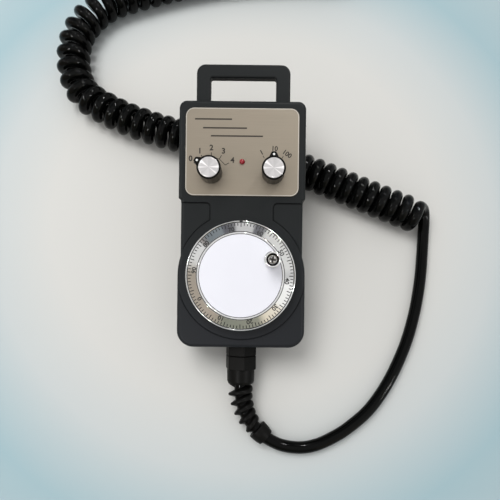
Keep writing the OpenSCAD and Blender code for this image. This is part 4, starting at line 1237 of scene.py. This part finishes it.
def back_shell(sizes):
    """The back shell: a hollow tray with posts and sunk places for its four screws."""
    top = seated_box("back_shell")[1].z
    back = housing_block(sizes, "housing_back", 0, 0, top, sizes.edge_r, 0)
    back = cut(back, housing_block(sizes, "cavity", sizes.wall, sizes.wall, top + 1))
    back = grown_with(back, *screw_pegs(sizes, POST_R, 2, top, 32))
    back = cut(back, *screw_pegs(sizes, SCREW_BORE_R, -1, top + 1, 24))
    return cut(back, *screw_pegs(sizes, SCREW_HEAD_R, -1, SCREW_HEAD_FLOOR, 48))


class PENDANT_OT_housing(bpy.types.Operator):
    """Moulds the front shell with its loop, and the back shell"""

    bl_idname = "pendant.housing"
    bl_label = "Housing"

    def execute(self, context):
        sizes = in_mm(context.scene.pendant_housing)
        settle(front_shell(sizes), "housing_plastic", "housing", ["front_shell"])
        settle(back_shell(sizes), "housing_plastic", "housing", ["back_shell"])
        return {"FINISHED"}


# ---------------------------------------------------------------- faceplate and its scales


def clockwise(radius, degrees):
    """A point at a radius and a clockwise angle from straight up."""
    angle = math.radians(degrees)
    return Vector((radius * math.sin(angle), radius * math.cos(angle)))


def facing_up(z, at, turn=0.0):
    """A place at a height on the housing's face, with a turn in degrees about Z."""
    return Matrix.Translation((*at, z)) @ Matrix.Rotation(math.radians(turn), 4, "Z")


PLATE_CORNER_R = 6
PLATE_EDGE_R = 0.45
PLATE_MIDDLE = (0, (PLATE[0].y + PLATE[1].y) / 2)

# Scale figures as (text, radius, clockwise angle) and their heights, then the scale lines' angles and
# the radii of their ends
AXIS_FIGURES = (("0", 17.6, -56), ("1", 17.3, -28), ("2", 17.6, 0), ("3", 17.6, 29), ("4", 17.4, 59))
RATE_FIGURES = (("1", 16.8, -29), ("10", 17.5, 3), ("100", 16.9, 35))
AXIS_FIGURE_H, RATE_FIGURE_H = 3.9, 3.3
AXIS_STOPS = (-60, -30, 0, 30, 60)
RATE_STOPS = (-30, 0, 30)
AXIS_LINE_FROM, AXIS_LINE_TO = 11.3, 14.4
RATE_LINE_FROM, RATE_LINE_TO = 12.4, 14.3
# Title bars as (distance from the dial's axis, left end, right end), in mm
TITLE_BARS = ((110.0, -33.5, -7.5), (103.8, -27.8, 3.1), (98.2, -22.2, 14.4))


def plate_ring(inset, z):
    """A ring along the faceplate's outline."""
    width, height = (PLATE[1][k] - PLATE[0][k] - 2 * inset for k in (0, 1))
    return box_ring(width, height, PLATE_CORNER_R - inset, PLATE_MIDDLE, z, 12)


def plate_prints(top):
    """The scales' figures and lines and the title's bars, printed on the faceplate."""
    z = top + 0.005
    left, right = AXIS_AT.xy, RATE_AT.xy

    def line(start, end, width):
        return bar(start, end, width, top - 0.02, z + 0.02)

    prints = []
    for text, radius, turn in AXIS_FIGURES:
        prints.append(lettering(text, AXIS_FIGURE_H, facing_up(z, left + clockwise(radius, turn)), 0.15))
    for text, radius, turn in RATE_FIGURES:
        place = facing_up(z, right + clockwise(radius, turn), -turn)
        prints.append(lettering(text, RATE_FIGURE_H, place, 0.13))
    for turn in AXIS_STOPS:
        start, end = (left + clockwise(radius, turn) for radius in (AXIS_LINE_FROM, AXIS_LINE_TO))
        prints.append(line(start, end, 0.5))
    for turns in zip(AXIS_STOPS, AXIS_STOPS[1:]):
        start, end = (left + clockwise(AXIS_LINE_FROM, turn) for turn in turns)
        prints.append(line(start, end, 0.42))
    for turn in RATE_STOPS:
        start, end = (right + clockwise(radius, turn) for radius in (RATE_LINE_FROM, RATE_LINE_TO))
        prints.append(line(start, end, 0.45))
    for y, start, end in TITLE_BARS:
        prints.append(line((start, y), (end, y), 1.0))
    return joined("plate_scales", prints)


class PENDANT_OT_faceplate(bpy.types.Operator):
    """Cuts the brushed faceplate, prints its scales and sets the lamp in it"""

    bl_idname = "pendant.faceplate"
    bl_label = "Faceplate"

    def execute(self, context):
        low, top = PLATE[0].z, PLATE[1].z
        plate = block("faceplate", plate_ring, low, top, 0, PLATE_EDGE_R, 4)
        bores = [peg(SHAFT_BORE_R, low - 1, top + 1, at, 48) for at in (AXIS_AT.xy, RATE_AT.xy)]
        plate = cut(plate, *bores, peg(LENS_R + 0.05, low - 1, top + 1, LAMP_AT, 48))
        settle(plate, "plate_aluminium", "housing", ["face_plate"])
        # A lighter metal strip on the plate's top, just inside its rounded edge: a painted highlight of the edge.
        edge = loft("faceplate_bright_edge", [plate_ring(0.3, z) for z in (top - 0.1, top + 0.04)])
        edge = cut(edge, loft("inside", [plate_ring(0.8, z) for z in (top - 1, top + 1)]))
        settle(edge, "plate_edge", "housing")
        settle(plate_prints(top), "print", "housing", flat_faces=False)

        rise = LAMP[1].z - LENS_R
        lens = [(LENS_R, LENS_FOOT), (LENS_R, rise)]
        for angle in range(9, 91, 9):
            spoke = math.radians(angle)
            lens.append((LENS_R * math.cos(spoke), rise + LENS_R * math.sin(spoke)))
        lens.append((0, LENS_FOOT))
        settle(lathe("signal_lamp", lens, 48, centre=LAMP_AT), "lamp_red", "housing", ["lamp_lens"])
        return {"FINISHED"}


# ---------------------------------------------------------------- dial


RING_OVER = 0.5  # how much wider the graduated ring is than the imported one
DISC_GAP = 0.35  # gap between the disc and the lip round it, with a ring of painted shade sunk in it
LIP_GROOVE = 0.45  # groove round the lip, with a ring of painted shade sunk in it
FIGURES = 10
FIRST_FIGURE = 70
FIRST_FIGURE_TURN = -12  # clockwise angle of the first figure, in degrees


class PENDANT_OT_dial(bpy.types.Operator):
    """Turns the rim, the graduated ring and the disc, and engraves the divisions"""

    bl_idname = "pendant.dial"
    bl_label = "Dial"

    def execute(self, context):
        sizes = in_mm(context.scene.pendant_dial)
        outer, foot, top = RIM[1].x, RIM[0].z, RIM[1].z
        inner, flange = outer - sizes.rim_t, foot + 1.5
        corners = [
            (outer, foot, 0), (outer, top, 0.55), (inner, top, 0.45), (inner, flange, 0.3),
            (inner - 3, flange, 0.2), (inner - 3, foot, 0),
        ]
        settle(turned("chrome_rim", corners, 256, 6), "rim_chrome", "housing", ["dial_rim"])

        ring_r, ring_low, ring_top = RING[1].x + RING_OVER, RING[0].z, RING[1].z
        disc_r, disc_low, disc_top = DISC[1].x, DISC[0].z, DISC[1].z
        lip_r = disc_r + DISC_GAP
        lip_out = lip_r + sizes.lip_w
        edge_z = top - 0.4
        slope = math.atan2(ring_top - edge_z, ring_r - lip_out)
        fall = math.tan(slope)
        groove_out = lip_out + LIP_GROOVE
        groove_z, groove_low = ring_top - LIP_GROOVE * fall, ring_top - 0.8
        corners = [
            (4, ring_low + 2, 0), (5.2, ring_low + 2, 0), (5.2, ring_low + 3, 0), (9, ring_low + 3, 0),
            (9, ring_low + 4.5, 0), (disc_r - 1, ring_low + 4.5, 0), (ring_r - 2.8, ring_low + 3.5, 0),
            (ring_r - 1.8, ring_low, 0), (ring_r, ring_low, 0.2), (ring_r, edge_z, 0.25),
            (groove_out, groove_z, 0.05), (groove_out, groove_low, 0), (lip_out, groove_low, 0),
            (lip_out, ring_top, 0.2), (lip_r, ring_top, 0.2), (lip_r, disc_low, 0), (4, disc_low, 0),
        ]
        settle(turned("graduated_ring", corners, 288, 5), "dial_chrome", "dial", ["dial_ring"])

        corners = [(0, disc_low, 0), (disc_r, disc_low, 0), (disc_r, disc_top, 0.12), (0, disc_top, 0)]
        settle(turned("dial_disc_plate", corners, 256, 3), "disc_white", "dial", ["dial_disc"])
        # Dark rings sunk in the gap round the disc and in the groove round the lip: painted shade in them.
        gap_shades = []
        for near, far, high in ((disc_r, lip_r, disc_top - 0.2), (lip_out, groove_out, ring_top - 0.35)):
            low = high - 0.4
            gap_shades.append(lathe("seam", [(near, low), (far, low), (far, high), (near, high)]))
        settle(joined("dial_seam_rings", gap_shades), "mark_ink", "dial", flat_faces=False)

        divisions = division_ring(sizes, ring_r - 0.3, edge_z + 0.3 * fall, slope)
        settle(divisions, "mark_ink", "dial", flat_faces=False)

        figure_z = edge_z + (ring_r - sizes.digit_r) * fall + 0.02
        tilt = Matrix.Rotation(-slope, 4, "X")
        figures = []
        for k in range(FIGURES):
            turn = FIRST_FIGURE_TURN + 360 / FIGURES * k
            place = facing_up(figure_z, clockwise(sizes.digit_r, turn), -turn) @ tilt
            text = str((FIRST_FIGURE - 10 * k) % 100)
            figures.append(lettering(text, sizes.digit_h, place, 0.11))
        settle(joined("dial_figures", figures), "mark_ink", "dial", flat_faces=False)

        middle = outer - sizes.rim_t / 2
        mark = bar((0, middle - 0.75), (0, middle + 0.85), 2.2, top - 0.3, top + 0.06)
        mark.name = "index_mark_inlay"
        settle(mark, "mark_ink", "housing", ["index_mark"], flat_faces=False)
        return {"FINISHED"}


SCREW_R = 3.15  # head of the finger knob's screw
SLOT_TURNS = (-12, 78)  # directions of the screw's two slots, in degrees
SLOT_L = 4.5
SLOT_W = 1.2


class PENDANT_OT_finger_knob(bpy.types.Operator):
    """Turns the finger knob of the dial and its cross-slotted screw"""

    bl_idname = "pendant.finger_knob"
    bl_label = "Finger knob"

    def execute(self, context):
        centre = FINGER_AT.xy
        radius = (FINGER[1].x - FINGER[0].x) / 2
        low, top = FINGER[0].z, FINGER[1].z
        height = top - low
        bore, waist = radius - 1.4, radius - 0.6
        corners = [
            (bore, low, 0), (radius - 0.2, low, 0.3), (radius, low + 0.8, 0.4),
            (waist, low + height * 0.35, 4), (waist, low + height * 0.6, 4),
            (radius, top - 0.9, 0.5), (radius, top, 0.55), (bore, top, 0.35),
        ]
        knob = turned("finger_grip", corners, 128, 6, centre)
        settle(knob, "finger_chrome", "finger_knob", ["finger_knob"])

        foot, head = (corner.z for corner in seated_box("finger_knob_screw"))
        under = head - 2.2
        corners = [
            (0, foot, 0), (2, foot, 0), (2, under, 0), (SCREW_R, under, 0), (SCREW_R, head - 0.9, 0.6),
            (SCREW_R - 1.4, head, 1.2), (0, head, 0),
        ]
        screw = turned("finger_screw", corners, 64, 5, centre)
        # Dark bars in the bottoms of the two slots: painted shade in the cross recess.
        dark = []
        for turn in SLOT_TURNS:
            half = clockwise(SLOT_L / 2, 90 - turn)
            ends = (centre - half, centre + half)
            screw = cut(screw, bar(*ends, SLOT_W, head - 1.8, head + 1))
            dark.append(bar(*ends, SLOT_W, head - 1.9, head - 0.8))
        settle(screw, "screw_steel", "dial", ["finger_knob_screw"])
        settle(joined("finger_screw_cross", dark), "print", "dial")
        return {"FINISHED"}


# ---------------------------------------------------------------- selectors


# Sizes of both selector knobs, in mm
SKIRT_R = 7.7
FLUTES = 18
FLUTE_AT = 7.2  # distance of a flute's middle from the axis
FLUTE_R = 0.7
HEAD_R = 8.1
NOSE = 11  # reach of the pointer's nose
CAP_R = 6.85
DOT_AT = 9
DOT_R = 0.75


def fluted_ring(z, draw_in=0.0):
    """A ring round the selector knob's skirt with its round flutes."""
    base, flute_at = SKIRT_R - draw_in, FLUTE_AT - draw_in
    pitch = 2 * math.pi / FLUTES
    steps = FLUTES * 12
    points = []
    for k in range(steps):
        angle = 2 * math.pi * k / steps
        # the turn from the nearest flute's middle, and how far to its side that lies
        off = (angle + pitch / 2) % pitch - pitch / 2
        sideways = flute_at * math.sin(off)
        radius = base
        if abs(sideways) < FLUTE_R:
            radius = max(base, flute_at * math.cos(off) + math.sqrt(FLUTE_R ** 2 - sideways ** 2))
        points.append((radius * math.cos(angle), radius * math.sin(angle), z))
    return points


def pointer_ring(inset, z):
    """The wedge-shaped pointer nose, pointing towards +Y."""
    tip, tip_x, root_x = NOSE - inset, 1.5 - 0.9 * inset, 5.2 - inset
    corners = [(-root_x, 3.5, 0), (-tip_x, tip, 0.9), (tip_x, tip, 0.9), (root_x, 3.5, 0)]
    return [(p.x, p.y, z) for p in fillet(corners, 5)]


def selector(label, at, turn, cap_material):
    """One knob with its cap and dot, turned by a number of degrees round its shaft."""
    low, top = SKIRT[0].z, SKIRT[1].z
    body = label + "_selector"
    head_low, cap_low, cap_face = top - 4, top - 0.6, top - 0.12
    skirt = [fluted_ring(low, 0.15), fluted_ring(low + 0.3), fluted_ring(top - 3.6)]
    corners = [(0, head_low, 0), (HEAD_R, head_low, 0.5), (HEAD_R, top, 0.4), (0, top, 0)]
    knob = grown_with(loft(label + "_knob_body", skirt), turned("head", corners, 128, 5))
    knob = grown_with(knob, block("nose", pointer_ring, top - 3, top, 0, 0.5, 4))
    knob = cut(knob, peg(CAP_R + 0.02, cap_low, top + 1, segments=128))
    knob = cut(knob, peg(SKIRT_BORE_R, low - 1, SKIRT_BORE_TOP, segments=48))
    knob = cut(knob, peg(KNOB_BORE_R, low - 1, top - 3, segments=48))
    place = SEAT @ facing_up(0, at.xy, turn)
    settle(knob, "knob_plastic", body, [label + "_knob"], place)
    corners = [
        (0, cap_low, 0), (CAP_R, cap_low, 0), (CAP_R, top, 0.2), (CAP_R - 0.55, top, 0.1),
        (CAP_R - 0.75, cap_face, 0.1), (0, cap_face, 0),
    ]
    settle(turned(label + "_cap", corners, 128, 3), cap_material, body, [label + "_knob_cap"], place)
    under, over = top - 0.05, top + 0.03
    corners = [(0, under), (DOT_R, under), (DOT_R, over), (0, over)]
    dot = lathe(label + "_pointer_dot", corners, 32, centre=(0, DOT_AT))
    settle(dot, "pointer_white", body, (), place, flat_faces=False)


class PENDANT_OT_selectors(bpy.types.Operator):
    """Moulds both selector knobs with their flutes, noses, caps and dots"""

    bl_idname = "pendant.selectors"
    bl_label = "Selectors"

    def execute(self, context):
        selector("axis", AXIS_AT, 60, "axis_cap")
        selector("rate", RATE_AT, 0, "cap_aluminium")
        return {"FINISHED"}


# ---------------------------------------------------------------- gland and plug


# Sizes of the cable gland, in mm
HEXAGON_FLATS = 20.5
HEXAGON_TURN = 17  # turn of both hexagons, in degrees
GLAND_BASE_L = 7.9
NUT_START = 8.1
NUT_L = 10.4
DOME_L = 10.4


def hexagon_ring(inset, z):
    """The gland's hexagon with softened corners."""
    radius = (HEXAGON_FLATS / 2 - inset) / math.cos(math.pi / 6)
    corners = []
    for k in range(6):
        angle = math.radians(HEXAGON_TURN + 60 * k)
        corners.append((radius * math.cos(angle), radius * math.sin(angle), 1.0))
    return [(p.x, p.y, z) for p in fillet(corners, 4)]


class PENDANT_OT_gland(bpy.types.Operator):
    """Turns the cable gland's hexagon base and its domed nut"""

    bl_idname = "pendant.gland"
    bl_label = "Cable gland"

    def execute(self, context):
        place = SEAT @ gland_place(SHELL[0].y)
        base = block("gland_base", hexagon_ring, 0, GLAND_BASE_L, 0.3, 0.6, 3)
        base = grown_with(base, peg(GLAND_BORE_R - 0.05, -8.5, 1))
        base = grown_with(base, peg(8.4, 7, 16.9))
        base = cut(base, peg(6.35, 5, 20))
        base = cut(base, peg(CORD_BORE_R, -9, 20))
        settle(base, "black_plastic", "housing", ["gland_body"], place)

        start, shoulder = NUT_START, NUT_START + NUT_L
        end = shoulder + DOME_L
        nut = block("gland_clamping_nut", hexagon_ring, start, shoulder, 0.5, 1.2, 4)
        dome_r = HEXAGON_FLATS / 2 - 0.05
        corners = [
            (0, start + 2, 0), (dome_r, start + 2, 0), (dome_r, end - 8, 2), (dome_r - 0.2, end - 2, 1.5),
            (dome_r - 0.85, end, 0.7), (0, end, 0),
        ]
        nut = grown_with(nut, turned("dome", corners, 128, 5))
        nut = cut(nut, peg(8.45, start - 1, start + 9))
        nut = cut(nut, peg(CORD_BORE_R, start - 1, end + 1))
        settle(nut, "black_plastic", "housing", ["gland_nut"], place)
        return {"FINISHED"}


# Sizes of the plug, in mm: lengths run from its cord clamp's end to its open mouth
CLAMP_R = 8.5
CLAMP_L = 13
BARREL_R = 10
FLANGE_R = 10.8
MOUTH_R = 8.5
PLUG_L = 47
SLEEVE_R = 11.6
SLEEVE_LOW = 27
RIBS = 30
RIB_R = 0.6


class PENDANT_OT_plug(bpy.types.Operator):
    """Turns the cord's round plug and its ribbed coupling ring"""

    bl_idname = "pendant.plug"
    bl_label = "Plug"

    def execute(self, context):
        joint = Vector(JOINTS["coupling_ring_turn"]["pos_m"]) / MM
        start_x = max(vertex.co.x for vertex in NODES["plug_clamp"].data.vertices) / MM
        place = IN_METRES @ Matrix.Translation((start_x, joint.y, joint.z))
        place = place @ Matrix.Rotation(-math.pi / 2, 4, "Y")
        corners = [
            (0, 0, 0), (5.9, 0, 0.3), (6.5, 0.8, 0.3), (CLAMP_R, 6.5, 1.0), (CLAMP_R, CLAMP_L, 0),
            (0, CLAMP_L, 0),
        ]
        settle(turned("plug_cord_clamp", corners, 96, 5), "plug_chrome", "housing", ["plug_clamp"], place)

        flange_low, flange_high = 23, 26.7
        corners = [
            (8.3, 16, 0), (0, 16, 0), (0, CLAMP_L, 0), (BARREL_R, CLAMP_L, 0.8), (BARREL_R, flange_low, 0),
            (FLANGE_R, flange_low, 0.3), (FLANGE_R, flange_high, 0.3), (BARREL_R, flange_high, 0),
            (BARREL_R, PLUG_L, 0.3), (MOUTH_R, PLUG_L, 0.3), (MOUTH_R, PLUG_L - 8, 0), (8.3, PLUG_L - 8, 0),
        ]
        settle(turned("plug_barrel", corners, 96), "plug_chrome", "housing", ["plug_shell"], place)

        inner_r, low = BARREL_R + 0.05, SLEEVE_LOW
        corners = [(inner_r, low, 0), (SLEEVE_R, low, 0.5), (SLEEVE_R, PLUG_L, 0.5), (inner_r, PLUG_L, 0)]
        ring = turned("coupling_sleeve", corners, 120)
        settle(ring, "plug_chrome", "coupling_ring", ["coupling_ring"], place)
        ribs = rib_ring(RIBS, SLEEVE_R - 0.2, RIB_R, low + 2, PLUG_L - 2)
        settle(ribs, "plug_chrome", "coupling_ring", (), place, flat_faces=False)
        return {"FINISHED"}


# ---------------------------------------------------------------- carried parts, and the cord's measure


class PENDANT_OT_inner_parts(bpy.types.Operator):
    """Gives every part carried over from the CAD model its finish"""

    bl_idname = "pendant.inner_parts"
    bl_label = "Inner parts"

    def execute(self, context):
        for entry in frame["record"]["subparts"]:
            piece = NODES[entry["node"]]
            piece.data.materials.clear()
            piece.data.materials.append(MATERIALS[entry["material_slot"]])
        return {"FINISHED"}


class PENDANT_OT_cord_measure(bpy.types.Operator):
    bl_idname = "pendant.cord_measure"
    bl_label = "Cord measure"

    def execute(self, context):
        sizes = in_mm(context.scene.pendant_cord)
        path = [point * MM for point in cord_path(sizes)]
        round(line_length(path), 3)
        return {"FINISHED"}


# ---------------------------------------------------------------- floor, light and camera


# The camera and the lights: the camera's place is in mm in the housing's frame, and theirs in metres
CAMERA_AT = (11.69, -0.67, 380.2)
CAMERA_TURN = 0.66  # degrees
CAMERA_LENS = 34.73
CAMERA_SHIFT = (-0.015, 0.0538)
KEY_AT = (-0.35, 0.35, 1.15)
SPOTS_AT = ((0.55, 0.65, 1.1), (0.1, 1.0, 1.1), (1.25, -0.6, 1.1), (-1.3, 0.1, 1.1), (-0.55, -0.75, 1.1))
FLOOR_HALF = 3.0


def area_light(name, place, size, power):
    """A round lamp that faces the middle of the floor."""
    light = bpy.data.lights.new(name, "AREA")
    light.shape = "DISK"
    light.size = size
    light.energy = power
    lamp = linked(name, light)
    lamp.location = place
    lamp.rotation_euler = (-Vector(place)).to_track_quat("-Z", "Y").to_euler()
    return lamp


# The room's walls, as shares of a whole turn clockwise from +Y, and their tones
WALLS = (
    (0.000, (0.62, 0.62, 0.62)), (0.031, (0.62, 0.62, 0.62)), (0.036, (0.15, 0.15, 0.17)),
    (0.068, (0.18, 0.18, 0.19)), (0.075, (0.72, 0.72, 0.70)), (0.220, (0.80, 0.80, 0.79)),
    (0.250, (0.60, 0.60, 0.60)), (0.280, (1.05, 1.05, 1.04)), (0.350, (1.05, 1.05, 1.02)),
    (0.370, (0.95, 0.88, 0.75)), (0.420, (0.85, 0.77, 0.62)), (0.445, (0.32, 0.32, 0.26)),
    (0.560, (0.26, 0.27, 0.22)), (0.600, (0.44, 0.38, 0.31)), (0.760, (0.42, 0.37, 0.31)),
    (0.800, (0.78, 0.78, 0.77)), (0.850, (0.78, 0.78, 0.78)), (0.860, (0.28, 0.25, 0.24)),
    (0.880, (0.21, 0.24, 0.26)), (0.928, (0.25, 0.28, 0.30)), (0.935, (0.13, 0.13, 0.15)),
    (0.968, (0.15, 0.15, 0.16)), (0.978, (0.62, 0.62, 0.62)),
)


def sky():
    """A pale room: plain light from all sides, with lighter and darker walls that show only in metal."""
    world = bpy.data.worlds.new("pale_room")
    world.use_nodes = True
    tree = Graph(world.node_tree)
    inputs = {"Vector": tree.node("ShaderNodeTexCoord"), "Rotation": (-LEAN, 0, 0)}
    ray = tree.node("ShaderNodeMapping", {"vector_type": "VECTOR"}, inputs)
    x, y, z = tree.parts(ray)
    walls = tree.ramp(azimuth(tree, x, y), WALLS)
    high = tree.ramp(z, [(0.0, (0, 0, 0)), (0.80, (0, 0, 0)), (0.88, (1, 1, 1))])
    glossy = tree.mixed(high, walls, (0.80, 0.80, 0.80))
    in_metal = tree.node("ShaderNodeLightPath", output="Is Glossy Ray")
    tone = tree.mixed(in_metal, (0.60, 0.60, 0.60), glossy)
    back = tree.node("ShaderNodeBackground", None, {"Color": tone, "Strength": 1.0})
    tree.node("ShaderNodeOutputWorld", None, {"Surface": back})
    bpy.context.scene.world = world


def azimuth(tree, x, y):
    """Clockwise turn from +Y as a share of a whole turn."""
    angle = tree.node("ShaderNodeMath", {"operation": "ARCTAN2"}, {0: x, 1: y})
    return (angle / (2 * math.pi) + 1.0) % 1.0


class PENDANT_OT_stage(bpy.types.Operator):
    """Sets the camera, the pale floor and the soft light"""

    bl_idname = "pendant.stage"
    bl_label = "Floor, light and camera"

    def execute(self, context):
        scene = context.scene
        camera = bpy.data.cameras.new("Camera")
        camera.lens = CAMERA_LENS
        camera.sensor_width = 36
        camera.shift_x, camera.shift_y = CAMERA_SHIFT
        camera.clip_start = 0.01
        view = linked("Camera", camera)
        turn = Matrix.Rotation(LEAN, 4, "X") @ Matrix.Rotation(math.radians(CAMERA_TURN), 4, "Z")
        view.matrix_world = Matrix.Translation(SEAT @ Vector(CAMERA_AT)) @ turn
        scene.camera = view

        shape = bmesh.new()
        bmesh.ops.create_grid(shape, x_segments=1, y_segments=1, size=FLOOR_HALF)
        floor = meshed("floor", shape)
        floor.data.materials.append(floor_finish())

        sky()
        key = area_light("key", KEY_AT, size=0.75, power=8.6)
        key.visible_glossy = False
        for place in SPOTS_AT:
            spot = area_light("ceiling_spot", place, size=0.055, power=5.0)
            spot.visible_diffuse = False
        scene.view_settings.view_transform = "Standard"
        return {"FINISHED"}


# ---------------------------------------------------------------- add-on


STEPS = (
    PENDANT_OT_stage, PENDANT_OT_cord, PENDANT_OT_bend_guard, PENDANT_OT_housing, PENDANT_OT_faceplate,
    PENDANT_OT_dial, PENDANT_OT_finger_knob, PENDANT_OT_selectors, PENDANT_OT_gland, PENDANT_OT_plug,
    PENDANT_OT_inner_parts, PENDANT_OT_cord_measure,
)


class PENDANT_PT_panel(bpy.types.Panel):
    """Lists the pendant's pieces and their sizes"""

    bl_label = "Pendant"
    bl_idname = "PENDANT_PT_panel"
    bl_space_type = "VIEW_3D"
    bl_region_type = "UI"
    bl_category = "Pendant"

    def draw(self, context):
        for step in STEPS:
            self.layout.operator(step.bl_idname)
        for name, group in GROUPS.items():
            box = self.layout.box()
            for key in group.__annotations__:
                box.prop(getattr(context.scene, name), key)


CLASSES = (*GROUPS.values(), *STEPS, PENDANT_PT_panel)


def register():
    for entry in CLASSES:
        bpy.utils.register_class(entry)
    for name, group in GROUPS.items():
        setattr(bpy.types.Scene, name, bpy.props.PointerProperty(type=group))


def unregister():
    for name in GROUPS:
        delattr(bpy.types.Scene, name)
    for entry in reversed(CLASSES):
        bpy.utils.unregister_class(entry)


def main():
    register()
    make_materials(bpy.context.scene.pendant_colours)
    for step in STEPS:
        category, name = step.bl_idname.split(".")
        getattr(getattr(bpy.ops, category), name)()


if __name__ == "__main__":
    main()
